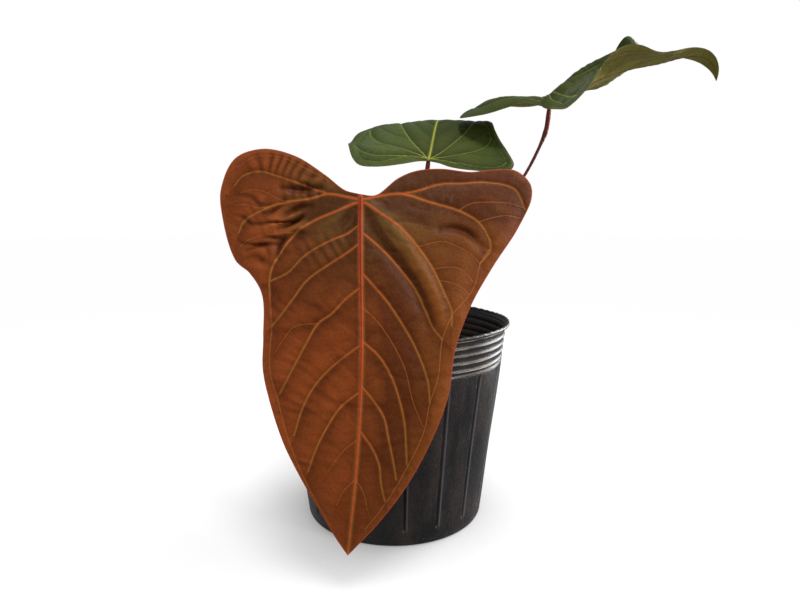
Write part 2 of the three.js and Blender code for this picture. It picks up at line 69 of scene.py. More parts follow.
# A leaf's outline is given as shares of its length, across and along the midrib, from the
# petiole joint. Every curve is a list of [distance along the midrib, value]: yaw, pitch and
# roll bend the midrib, lift is the angle at which a half leaves it, and curl is how many
# degrees that half turns per 100 mm on the way to its margin.
LEAVES = {
    "front": {
        "length": 198,
        "joint": (-16.5, -112, 224),
        "heading": (-90, -80),
        "yaw": [(0, 0), (60, -0.5), (110, 3), (198, 7)],
        "pitch": [(-20, 0), (0, 0), (100, -8), (198, -16)],
        "roll": [(0, 0)],
        "near": {
            "lift": [(-30, -8), (0, -8), (100, -5), (198, 0)],
            "curl": [(-30, -10), (60, -10), (198, 0)],
            "outline": [
                (0.042, -0.025), (0.097, -0.068), (0.18, -0.122), (0.277, -0.147), (0.36, -0.125),
                (0.402, -0.045), (0.397, 0.03), (0.354, 0.155), (0.31, 0.192), (0.275, 0.25),
                (0.272, 0.37), (0.27, 0.48), (0.214, 0.655), (0.155, 0.768), (0.088, 0.872),
                (0.03, 0.96),
            ],
        },
        "far": {
            "lift": [(-30, -8), (0, -6), (100, -5), (198, 0)],
            "curl": [(-30, -6), (60, -8), (198, 0)],
            "outline": [
                (0.04, -0.011), (0.1, -0.058), (0.15, -0.08), (0.22, -0.088), (0.3, -0.083),
                (0.36, -0.092), (0.43, -0.093), (0.47, -0.06), (0.474, -0.02), (0.433, 0.07),
                (0.36, 0.18), (0.294, 0.293), (0.255, 0.395), (0.235, 0.53), (0.182, 0.68),
                (0.134, 0.783), (0.07, 0.894), (0.03, 0.955),
            ],
        },
        "petiole": [(-3, -4, 127), (-5, -34, 168), (-11, -78, 212), (-15.5, -104, 224),
                    (-16.5, -111.6, 224)],
        "swelling": 16,
    },
    "back": {
        "length": 145,
        "joint": (24.5, 10, 254.5),
        "heading": (80, 34),
        "yaw": [(0, 0)],
        "pitch": [(-25, -21), (0, -8), (30, 4), (55, -8), (90, -45), (145, -73)],
        "roll": [(0, 3)],
        "near": {
            "lift": [(0, 0), (40, -2), (60, 2), (80, 0)],
            "curl": [(0, -10), (40, -8), (60, -8), (80, 0)],
            "outline": [
                (0.065, -0.05), (0.125, -0.11), (0.21, -0.14), (0.32, -0.13), (0.387, -0.08),
                (0.417, 0.01), (0.405, 0.09), (0.38, 0.17), (0.345, 0.26), (0.315, 0.35),
                (0.288, 0.47), (0.22, 0.65), (0.13, 0.8), (0.05, 0.93),
            ],
        },
        "far": {
            "lift": [(-30, 1), (0, 11), (30, 1), (145, -6)],
            "curl": [(-30, -22), (0, -12), (40, -8), (60, -15), (145, -12)],
            "outline": [
                (0.042, -0.05), (0.115, -0.12), (0.213, -0.155), (0.306, -0.14), (0.368, -0.08),
                (0.412, 0.03), (0.425, 0.14), (0.42, 0.25), (0.385, 0.36), (0.315, 0.48),
                (0.215, 0.65), (0.13, 0.8), (0.055, 0.93),
            ],
        },
        "petiole": [(2, 3, 129), (9, 6, 180), (18, 8, 222), (23.8, 9.6, 248), (24.5, 10, 254.3)],
        "swelling": 14,
    },
    "right": {
        "length": 151,
        "joint": (108, 5, 291),
        "heading": (24, 27),
        "yaw": [(0, 2), (60, 6), (120, 29), (151, 34)],
        "pitch": [
            (-30, 6), (-12, 3), (0, 0), (40, -2), (62, -10), (85, -14),
            (108, -10), (124, -28), (137, -65), (151, -105),
        ],
        "roll": [(0, -2), (95, 0), (115, -9), (132, -21), (151, -44)],
        "near": {
            "lift": [
                (-30, 30), (-18, 45), (-8, 57), (12, 70), (25, 75), (38, 59),
                (50, 45), (65, 32), (80, 24), (95, 20), (110, 11), (130, 7), (151, 0),
            ],
            "curl": [
                (-30, -165), (-18, -265), (-8, -340), (12, -360), (25, -330), (38, -185),
                (50, -90), (62, -55), (75, -70), (95, -35), (110, 20),
            ],
            "outline": [
                (0.07, -0.06), (0.135, -0.125), (0.195, -0.145), (0.235, -0.105), (0.248, -0.02),
                (0.245, 0.08), (0.235, 0.17), (0.225, 0.27), (0.22, 0.38), (0.205, 0.5),
                (0.165, 0.65), (0.095, 0.8), (0.025, 0.93),
            ],
        },
        "far": {
            "lift": [
                (-30, 35), (-10, 45), (5, 24), (30, -3), (66, -11), (78, -8),
                (88, 37), (100, 23), (114, 12), (151, 5),
            ],
            "curl": [(-30, -55), (-10, -92), (5, -48), (30, -2), (60, 3), (76, 6), (90, 22),
                     (116, 10)],
            "outline": [
                (0.07, -0.06), (0.15, -0.145), (0.255, -0.22), (0.375, -0.24), (0.46, -0.185),
                (0.472, -0.06), (0.42, 0.08), (0.35, 0.22), (0.318, 0.34), (0.288, 0.46),
                (0.22, 0.63), (0.122, 0.79), (0.038, 0.93),
            ],
        },
        "petiole": [(4.5, 0, 129), (31, -1, 166), (66, 0, 208), (92.5, 2, 244), (105, 4, 269.5),
                    (107, 4.5, 276), (108.5, 5.2, 289.7)],
        "swelling": 22,
    },
}

STEM = {
    "path": [(0, 1, 84), (0, 0.5, 104), (0.6, 0, 120), (1.2, -0.4, 133)],
    "radii": [(0, 6.5), (0.333, 9.2), (0.667, 8.6), (1, 5.2)],
}

BRACTS = [
    {"length": 40, "joint": (-9.6, 3.2, 116), "heading": (160, 74), "half_width": 8},
    {"length": 34, "joint": (9.2, 6.2, 115), "heading": (38, 72), "half_width": 7.5},
    {"length": 30, "joint": (7.4, -9, 114), "heading": (-52, 70), "half_width": 6.5},
]

ROOTS = [
    {"angle": 205, "start": 107, "reach": 34, "crest": 7, "radius": 2.1},
    {"angle": 262, "start": 105, "reach": 29, "crest": 5, "radius": 1.9},
    {"angle": 318, "start": 106, "reach": 36, "crest": 5, "radius": 2.2},
    {"angle": 20, "start": 107, "reach": 40, "crest": 6, "radius": 2.3},
    {"angle": 112, "start": 106, "reach": 33, "crest": 7, "radius": 2.0},
]
ROOT_END = 84

# Bark pieces on the mix: (distance from the centre, angle, length, width, height, turn).
CHIPS = [
    (50, 12, 19, 12, 8, 20),
    (56, 58, 16, 11, 9, 75),
    (48, 100, 20, 12, 7, 130),
    (57, 146, 17, 13, 8, 10),
    (51, 196, 21, 12, 8, 60),
    (55, 238, 16, 12, 9, 100),
    (47, 282, 19, 13, 7, 150),
    (56, 330, 18, 11, 8, 40),
]

MIX_TOP = 102
GROOVE_ROOM = 1.9  # how far the grooves and the wall stand into the pot

# ---- veins ------------------------------------------------------------------------------

# Width at the start and the end, how much the blade is drawn in along it, which also sets the
# shade painted beside it, and how far it stands out underneath.
VEIN_KINDS = {
    "midrib": (2.1, 0.7, 0.92, 1.3),
    "basal": (1.05, 0.4, 0.95, 0.9),
    "lateral": (0.68, 0.28, 0.92, 0.6),
    "branch": (0.38, 0.2, 0.5, 0.3),
    "collective": (0.42, 0.28, 0.45, 0.35),
}

# The front leaf's veins, in millimetres across and along the blade from the petiole joint.
FRONT_NEAR_VEINS = [
    ("basal", [(2, 0), (17, -3), (27, -1), (37, 0), (48, 2), (58, 6), (65, 10), (68, 16)]),
    ("basal", [(2, 2), (12, 6), (25, 11), (35, 17), (42, 25), (48, 34), (50, 41), (50, 50)]),
    ("lateral", [(17, -3), (25, -6), (35, -10), (46, -14), (56, -17), (66, -15), (71, -10)]),
    ("lateral", [(0, 13), (7, 18), (17, 22), (30, 29), (40, 38), (49, 42)]),
    ("lateral", [(0, 23), (7, 28), (17, 34), (29, 42), (37, 52), (44, 61), (49, 67)]),
    ("lateral", [(0, 46), (8, 52), (16, 60), (23, 65), (30, 77), (37, 91), (44, 106)]),
    ("lateral", [(0, 76), (8, 82), (17, 90), (25, 100), (31, 113), (35, 129)]),
    ("lateral", [(0, 101), (10, 110), (16, 120), (22, 134), (26, 149)]),
    ("branch", [(0, 127), (8, 135), (15, 147)]),
    ("branch", [(0, 150), (6, 158), (9, 167)]),
    ("branch", [(35, 17), (45, 17), (54, 18), (64, 21), (67, 24)]),
    ("branch", [(36, 0), (44, -1), (51, -5), (58, -7), (67, -6)]),
    ("branch", [(48, 2), (57, 3), (62, 1), (70, 1)]),
    ("branch", [(23, 65), (36, 67), (42, 74), (47, 82)]),
    ("branch", [(17, -10), (33, -19), (44, -24), (59, -25), (69, -20)]),
    ("collective", [(50, 50), (49, 66), (50, 83), (49, 96), (45, 109), (38, 131), (27, 155),
                    (13, 177)]),
]
FRONT_FAR_VEINS = [
    ("basal", [(2, 0), (21, -3), (37, 1), (52, 5), (63, 11), (69, 20), (70, 26), (64, 34)]),
    ("basal", [(2, 2), (11, 8), (21, 15), (30, 25), (37, 35), (41, 43), (45, 52), (48, 59),
               (48, 67)]),
    ("lateral", [(21, -3), (30, -5), (42, -9), (55, -10), (68, -11), (84, -8), (90, 3)]),
    ("lateral", [(0, 17), (11, 26), (21, 37), (29, 48), (34, 59), (38, 68), (43, 74)]),
    ("lateral", [(0, 38), (13, 53), (21, 65), (28, 77), (33, 88), (36, 97), (37, 106)]),
    ("branch", [(0, 56), (9, 65), (17, 77), (23, 89), (28, 106), (34, 119)]),
    ("lateral", [(0, 74), (9, 82), (16, 93), (20, 103), (24, 117), (26, 132), (27, 140)]),
    ("lateral", [(0, 98), (7, 106), (13, 115), (16, 126), (19, 137), (22, 149)]),
    ("lateral", [(0, 122), (7, 131), (12, 141), (14, 152), (17, 162)]),
    ("branch", [(0, 150), (5, 158), (8, 168)]),
    ("branch", [(52, 5), (59, 1), (69, 0), (80, 0), (89, 2)]),
    ("branch", [(63, 11), (69, 9), (78, 7), (87, 8)]),
    ("branch", [(30, 25), (37, 23), (44, 22), (52, 25), (59, 29), (64, 34)]),
    ("branch", [(37, 37), (44, 36), (50, 36), (56, 39), (60, 44)]),
    ("branch", [(41, 43), (47, 44), (54, 47), (58, 51)]),
    ("collective", [(69, 26), (64, 34), (60, 48), (48, 62), (43, 74), (41, 93), (37, 107),
                    (35, 121), (28, 140), (17, 164), (8, 180)]),
]

# Folds pressed into the front leaf: (depth, how much painted shade, half width, points across and
# along the blade). Ridges have both values below nought, the shade then being a painted highlight;
# entries with no depth are only painted, with no fold.
FRONT_FOLDS = [
    (1.5, 0.0, 3.2, [(-1.5, 5), (-7, 18), (-14, 27), (-20, 35), (-29, 50), (-35, 66)]),
    (0.0, 0.75, 2.2, [(-2, 3), (-6, 11), (-15.5, 25), (-26, 40), (-35, 56), (-38, 65)]),
    (-1.5, -0.8, 3.6, [(-5, 3), (-16, 13), (-23, 22), (-34, 40), (-41, 57), (-43, 65)]),
    (0.0, -0.4, 6.0, [(-46, 70), (-54, 50), (-58, 33), (-69, 14)]),
    (2.2, 0.6, 2.2, [(-42, 16), (-50, 15), (-58, 18), (-64, 24)]),
    (2.6, 0.8, 1.5, [(27, 3), (34, 4), (40, 7), (46, 11)]),
    (2.4, 0.8, 1.4, [(32, 9), (38, 12), (45, 15)]),
    (2.0, 0.7, 1.3, [(41, 20), (45, 24), (46, 30)]),
    (-1.6, -0.5, 2.4, [(34, 6.5), (42, 9.5), (52, 13)]),
    (-1.2, -0.5, 2.2, [(30, 13), (38, 17), (42, 22)]),
    (2.2, 0.7, 1.6, [(22, -7), (32, -6), (43, -7)]),
    (1.5, 0.5, 1.2, [(46, 23), (55, 23), (63, 26)]),
    (1.2, 0.3, 2.6, [(52, 34), (58, 30), (66, 31)]),
    (1.4, 0.35, 2.0, [(4, 5), (9, 12), (12, 17)]),
    (-1.4, -0.3, 2.6, [(6, 3), (13, 10), (22, 15)]),
    (1.3, 0.4, 1.6, [(2, 6), (4, 14), (8, 19)]),
    (0.6, 1.6, 8.0, [(-20, -10), (-45, -14), (-66, -15), (-88, -8)]),
    (0.0, 0.7, 5.0, [(-24, -3), (-42, -2), (-60, 2), (-76, 10)]),
    (0.0, 0.5, 4.5, [(-12, 3), (-26, 7), (-42, 14)]),
    (0.0, 0.55, 9.0, [(-6, 24), (-14, 42), (-20, 70), (-20, 100), (-16, 135)]),
    (0.0, 0.35, 6.0, [(8, 40), (18, 50), (30, 66)]),
    (0.0, 0.4, 5.0, [(10, 1), (24, 4), (34, 11)]),
]
# Rows of small furrows: (depth, pitch, half length of a furrow, the path they lie across).
# Each furrow is painted darker and the tops between them paler: painted shade and highlight.
FRONT_COMBS = [
    (0.9, 5.4, 5.5, [(18, -7), (28, -13), (40, -18), (52, -21), (64, -19)]),
]
# Patches of crumpling: (depth, size of the crumples, reach of the patch, its middle). The
# crumple lines are painted darker and the tops between them paler: painted shade and highlight.
FRONT_CRUMPLES = [
    (1.6, 8.0, 13, (42, 12)),
    (0.9, 8.0, 10, (60, 4)),
    (0.9, 8.0, 10, (58, 23)),
    (0.8, 5.0, 8, (27, -6)),
    (0.4, 10.0, 20, (-16, 14)),
    (0.3, 14.0, 60, (10, 80)),
]

# Veins of the green leaves, as (degrees from the tip, share of the way to the margin).
RULED_VEINS = [
    ("basal", [(98, 0.2), (103, 0.45), (102, 0.7), (95, 0.86), (86, 0.92)]),
    ("lateral", [(103, 0.3), (114, 0.55), (116, 0.75), (108, 0.9)]),
    ("basal", [(66, 0.2), (64, 0.42), (60, 0.66), (54, 0.82), (48, 0.9)]),
    ("branch", [(64, 0.42), (74, 0.62), (78, 0.78), (76, 0.89)]),
    ("basal", [(35, 0.15), (31, 0.38), (28, 0.6), (25, 0.76), (22, 0.88)]),
    ("branch", [(31, 0.38), (41, 0.6), (42, 0.78), (40, 0.89)]),
    ("collective", [(108, 0.92), (95, 0.91), (80, 0.91), (65, 0.9), (50, 0.9), (36, 0.9),
                    (24, 0.9), (15, 0.91), (8, 0.92), (3.5, 0.94)]),
]
# Their laterals, as (share of the midrib, degrees from the tip at which each meets the margin).
RULED_LATERALS = [(0.2, 17.5), (0.34, 13), (0.48, 9.2), (0.62, 6.2), (0.75, 3.8)]


# ---- small helpers ----------------------------------------------------------------------

def srgb(code):
    """The linear colour of an sRGB hex value."""
    parts = [int(code[i:i + 2], 16) / 255 for i in (1, 3, 5)]
    return tuple(p / 12.92 if p <= 0.04045 else ((p + 0.055) / 1.055) ** 2.4 for p in parts)


def add(tree, kind, inputs=None, stops=None, **settings):
    """Adds a node: its settings, its colour stops and its inputs, by number or by open name. An
    input is a value, a socket to link, or a node, whose first open output is linked. A kind
    without the word Node is a shader node."""
    node = tree.nodes.new(kind if "Node" in kind else "ShaderNode" + kind)
    for name, value in settings.items():
        setattr(node, name, value)
    for key, value in (inputs or {}).items():
        socket = node.inputs[key] if isinstance(key, int) else next(
            socket for socket in node.inputs if socket.enabled and socket.name == key)
        if isinstance(value, bpy.types.Node):
            value = next(output for output in value.outputs if output.enabled)
        if isinstance(value, bpy.types.NodeSocket):
            tree.links.new(value, socket)
        elif socket.type == "RGBA":
            socket.default_value = (*tuple(value)[:3], 1)
        else:
            socket.default_value = value
    elements = node.color_ramp.elements if stops else []
    while len(elements) < len(stops or []):
        elements.new(0.5)
    for element, (place, level) in zip(elements, stops or []):
        element.position = place
        element.color = (level, level, level, 1)
    return node


def new_material(name):
    """A material with an empty node tree, and that tree."""
    material = bpy.data.materials.new(name)
    material.use_nodes = True
    material.node_tree.nodes.clear()
    return material, material.node_tree


def close_material(tree, bump, strength, inputs):
    """Ends a material in a principled surface with a bump."""
    normal = add(tree, "Bump", {"Height": bump, "Strength": strength, "Distance": MM})
    surface = add(tree, "BsdfPrincipled", {**inputs, "Normal": normal})
    add(tree, "OutputMaterial", {"Surface": surface})


def keyed(keys):
    """A smooth curve through (place, value) keys, held flat beyond both ends."""
    places = np.array([key[0] for key in keys], float)
    values = np.array([key[1] for key in keys], float)
    if len(keys) == 1:
        return lambda place: np.full(np.shape(place), values[0])
    slopes = np.zeros(len(keys))
    if len(keys) == 2:
        slopes[:] = (values[1] - values[0]) / (places[1] - places[0])
    else:
        slopes[1:-1] = (values[2:] - values[:-2]) / (places[2:] - places[:-2])

    def curve(place):
        """The curve's value at one place or many."""
        place = np.clip(np.asarray(place, float), places[0], places[-1])
        i = np.clip(np.searchsorted(places, place, side="right") - 1, 0, len(places) - 2)
        span = places[i + 1] - places[i]
        t = (place - places[i]) / span
        ease = t * t * (3 - 2 * t)
        bend = slopes[i] * t * (1 - t) ** 2 - slopes[i + 1] * t * t * (1 - t)
        return values[i] * (1 - ease) + values[i + 1] * ease + span * bend

    return curve


def smooth_path(points, step):
    """A Catmull-Rom curve through points, resampled about every step along its length."""
    points = np.array(points, float)
    first = 2 * points[0] - points[1]
    last = 2 * points[-1] - points[-2]
    padded = np.vstack([first, points, last])
    dense = []
    for p0, p1, p2, p3 in zip(padded, padded[1:], padded[2:], padded[3:]):
        knots = np.cumsum([0] + [max(math.sqrt(np.linalg.norm(b - a)), 1e-6)
                                 for a, b in ((p0, p1), (p1, p2), (p2, p3))])
        for t in np.linspace(knots[1], knots[2], 16, endpoint=False):
            a1 = p0 + (p1 - p0) * (t - knots[0]) / (knots[1] - knots[0])
            a2 = p1 + (p2 - p1) * (t - knots[1]) / (knots[2] - knots[1])
            a3 = p2 + (p3 - p2) * (t - knots[2]) / (knots[3] - knots[2])
            b1 = a1 + (a2 - a1) * (t - knots[0]) / (knots[2] - knots[0])
            b2 = a2 + (a3 - a2) * (t - knots[1]) / (knots[3] - knots[1])
            dense.append(b1 + (b2 - b1) * (t - knots[1]) / (knots[2] - knots[1]))
    dense = np.array(dense + [points[-1]])
    run = np.concatenate([[0], np.cumsum(np.linalg.norm(np.diff(dense, axis=0), axis=1))])
    count = max(2, int(round(run[-1] / step)) + 1)
    places = np.linspace(0, run[-1], count)
    return np.stack([np.interp(places, run, dense[:, k]) for k in range(dense.shape[1])], axis=1)


def waves(points, size, seed):
    """Smooth irregular values from about -1 to 1, with features of about the given size."""
    draw = np.random.default_rng(seed)
    points = np.asarray(points, float)
    total = np.zeros(len(points))
    for _ in range(9):
        direction = draw.normal(size=points.shape[1])
        direction /= np.linalg.norm(direction)
        frequency = 2 * math.pi / (size * draw.uniform(1.3, 3.2))
        total += np.sin(points @ direction * frequency + draw.uniform(0, 2 * math.pi))
    return total / 3.6


def near_path(points, path, reach=30.0):
    """Each flat point's distance from a path, the length run along it there, and its side.
    Points further away than the reach keep that distance."""
    x, y = np.ascontiguousarray(points.T)
    best = np.full(len(x), float(reach))
    along = np.zeros(len(x))
    side = np.zeros(len(x))
    run = 0.0
    for a, b in zip(path, path[1:]):
        step = b - a
        length = max(math.hypot(*step), 1e-9)
        wide = reach + length
        close = np.flatnonzero((np.abs(x - a[0]) < wide) & (np.abs(y - a[1]) < wide))
        across, ahead = x[close] - a[0], y[close] - a[1]
        t = np.clip((across * step[0] + ahead * step[1]) / length ** 2, 0, 1)
        gap = np.hypot(across - t * step[0], ahead - t * step[1])
        closer = gap < best[close]
        chosen = close[closer]
        best[chosen] = gap[closer]
        along[chosen] = run + t[closer] * length
        side[chosen] = np.sign(step[0] * ahead[closer] - step[1] * across[closer])
        run += length
    return best, along, side, run


def make_object(name, vertices, faces, materials, uv=None, marks=None, slots=None, sharp=40,
                chain=False):
    """A mesh object from millimetre vertices, with a material on each face and named marks. A
    chain is a path: its vertices joined one to the next."""
    mesh = bpy.data.meshes.new(name)
    edges = [(i, i + 1) for i in range(len(vertices) - 1)] if chain else []
    mesh.from_pydata((np.asarray(vertices) * MM).tolist(), edges, [list(face) for face in faces])
    for material in materials:
        mesh.materials.append(material)
    if slots is not None:
        mesh.polygons.foreach_set("material_index", np.asarray(slots, np.int32))
    if uv is not None:
        layer = mesh.uv_layers.new(name="flat")
        corner = np.empty(len(mesh.loops), np.int32)
        mesh.loops.foreach_get("vertex_index", corner)
        layer.data.foreach_set("uv", np.asarray(uv, np.float32)[corner].ravel())
    for mark, values in (marks or {}).items():
        data = mesh.attributes.new(mark, "FLOAT", "POINT").data
        data.foreach_set("value", np.asarray(values, np.float32))
    mesh.shade_smooth()
    mesh.set_sharp_from_angle(angle=math.radians(sharp))
    mesh.update()
    piece = bpy.data.objects.new(name, mesh)
    bpy.context.scene.collection.objects.link(piece)
    return piece


def declare(piece, slot, *nodes):
    """The piece rides on the plant's one body and stands for CAD nodes, which are hidden. The slot
    is not used.
    """
    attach(piece, "root")
    if nodes:
        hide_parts(*nodes)


def around(columns):
    """Evenly spaced angles round a circle."""
    return np.arange(columns) * 2 * math.pi / columns


def ring(radius, angles, z):
    """Points at some angles round the z axis."""
    return np.stack([radius * np.cos(angles), radius * np.sin(angles), z * np.ones(len(angles))],
                    axis=1)


def ring_faces(rows, columns, flip=False):
    """Faces that join closed rings of points, one ring to the next."""
    faces = []
    for i in range(rows - 1):
        for j in range(columns):
            a, b, k = i * columns, (i + 1) * columns, (j + 1) % columns
            faces.append((a + j, b + j, b + k, a + k) if flip else (a + j, a + k, b + k, b + j))
    return faces


def cap_faces(centre, first, columns, flip=False):
    """A fan of faces from a centre point to the ring that starts at the first point."""
    pairs = [(first + j, first + (j + 1) % columns) for j in range(columns)]
    return [(centre, b, a) if flip else (centre, a, b) for a, b in pairs]


def tube(path, radius, sides, relief):
    """A closed round tube along a path. The radius follows the share of the length, and the
    relief the length run and the angle."""
    tangents = np.gradient(path, axis=0)
    tangents /= np.linalg.norm(tangents, axis=1)[:, None]
    seed = np.array([0.0, 0.0, 1.0]) if abs(tangents[0][2]) < 0.9 else np.array([1.0, 0.0, 0.0])
    normal = np.cross(tangents[0], seed)
    run = np.concatenate([[0], np.cumsum(np.linalg.norm(np.diff(path, axis=0), axis=1))])
    angles = around(sides)
    rows = []
    for i, tangent in enumerate(tangents):
        normal = normal - tangent * (normal @ tangent)
        normal /= np.linalg.norm(normal)
        other = np.cross(tangent, normal)
        r = radius(run[i] / run[-1]) + relief(run[i], angles)
        spokes = np.cos(angles)[:, None] * normal + np.sin(angles)[:, None] * other
        rows.append(path[i] + spokes * r[:, None])
    vertices = np.vstack(rows + [path[:1], path[-1:]])
    count = len(path)
    faces = cap_faces(count * sides, 0, sides, flip=True)
    faces += cap_faces(count * sides + 1, (count - 1) * sides, sides)
    faces += ring_faces(count, sides)
    share = np.repeat(run, sides)
    uv = np.stack([share / 100, np.tile(angles / (2 * math.pi), count)], axis=1)
    uv = np.vstack([uv, [0, 0], [run[-1] / 100, 0]])
    return vertices, faces, uv


# ---- bent blades ------------------------------------------------------------------------

def turn(axis, vector, angle):
    """A vector turned about a unit axis."""
    return (vector * math.cos(angle) + np.cross(axis, vector) * math.sin(angle)
            + axis * (axis @ vector) * (1 - math.cos(angle)))


class BentBlade:
    """The middle surface of a leaf, bent along its midrib and curled across each half."""

    def __init__(self, leaf):
        azimuth, elevation = (math.radians(angle) for angle in leaf["heading"])
        ahead = np.array([math.cos(azimuth), math.sin(azimuth), 0])
        along = ahead * math.cos(elevation) + np.array([0, 0, math.sin(elevation)])
        up = -ahead * math.sin(elevation) + np.array([0, 0, math.cos(elevation)])
        across = np.cross(along, up)
        yaw, pitch, roll = (keyed(leaf[key]) for key in ("yaw", "pitch", "roll"))
        self.first = -math.ceil(leaf["length"] * 0.35)
        rows = []
        for s in range(self.first, int(leaf["length"] * 1.05) + 2):
            y, p, r = (math.radians(float(curve(s))) for curve in (yaw, pitch, roll))
            t = turn(up, along, -y)
            b = turn(up, across, -y)
            t, n = turn(b, t, p), turn(b, up, p)
            rows.append((t, turn(t, b, r), turn(t, n, r)))
        self.t, self.b, self.n = (np.array([row[k] for row in rows]) for k in range(3))
        steps = (self.t[1:] + self.t[:-1]) / 2
        middle = np.vstack([np.zeros(3), np.cumsum(steps, axis=0)])
        self.middle = middle - middle[-self.first] + np.array(leaf["joint"], float)
        self.halves = [(keyed(leaf[k]["lift"]), keyed(leaf[k]["curl"])) for k in ("near", "far")]

    def place(self, flat, lift):
        """Flat points (across, along) on the bent surface, lifted off it by lift."""
        u, v = flat[:, 0], flat[:, 1]
        place = np.clip(v - self.first, 0, len(self.t) - 1.001)
        row = place.astype(int)
        share = (place - row)[:, None]
        b, n, middle = (a[row] * (1 - share) + a[row + 1] * share
                        for a in (self.b, self.n, self.middle))
        near = u >= 0
        side = np.where(near, 1.0, -1.0)
        start = np.radians(np.where(near, self.halves[0][0](v), self.halves[1][0](v)))
        bend = np.radians(np.where(near, self.halves[0][1](v), self.halves[1][1](v))) / 100
        bend = np.where(np.abs(bend) < 1e-7, 1e-7, bend)
        end = start + bend * np.abs(u)
        out = side * ((np.sin(end) - np.sin(start)) / bend - np.sin(end) * lift)
        rise = (np.cos(start) - np.cos(end)) / bend + np.cos(end) * lift
        return middle + b * out[:, None] + n * rise[:, None]


def blade_margin(leaf, notch, step):
    """The closed flat outline of a blade, counter-clockwise, with a point about every step."""
    length = leaf["length"]
    near = [(u * length, v * length) for u, v in leaf["near"]["outline"]]
    far = [(-u * length, v * length) for u, v in leaf["far"]["outline"]]
    one = smooth_path([(0, -notch), *near, (0, length)], step)
    two = smooth_path([(0, -notch), *far, (0, length)], step)
    return np.vstack([one, two[::-1][1:-1]])


def ruled_veins(leaf):
    """Veins that follow the outline's own shape, for both halves."""
    length = leaf["length"]
    veins = []
    for side, half in ((1, leaf["near"]), (-1, leaf["far"])):
        points = np.array([*half["outline"], (0, 1)]) * length
        degrees = np.degrees(np.arctan2(points[:, 0], points[:, 1]))
        order = np.argsort(degrees)
        reach = np.hypot(*points.T)

        def at(angle, share):
            """A place at an angle from the midrib and a share of the way to the outline."""
            r = share * np.interp(angle, degrees[order], reach[order])
            return side * r * math.sin(math.radians(angle)), r * math.cos(math.radians(angle))

        for kind, path in RULED_VEINS:
            start = [] if kind == "collective" or path[0][1] > 0.25 else [(side * 1.0, 1.0)]
            veins.append((kind, start + [at(*point) for point in path]))
        for start, angle in RULED_LATERALS:
            end = at(angle, 0.91)
            rise = end[1] - start * length
            bow = [(end[0] * a, start * length + rise * b) for a, b in ((0.3, 0.17), (0.7, 0.52))]
            veins.append(("branch", [(0, start * length), *bow, end]))
    return veins


def side_veins(near, far):
    """The veins of both halves of a blade, those of the far half mirrored onto its side."""
    mirrored = [(kind, [(-u, v) for u, v in path]) for kind, path in far]
    return near + mirrored


FAR_OFF = 99.0  # a distance at which no vein leaves a mark
ROW_SHARE = 0.866  # height of an even triangle whose sides are 1


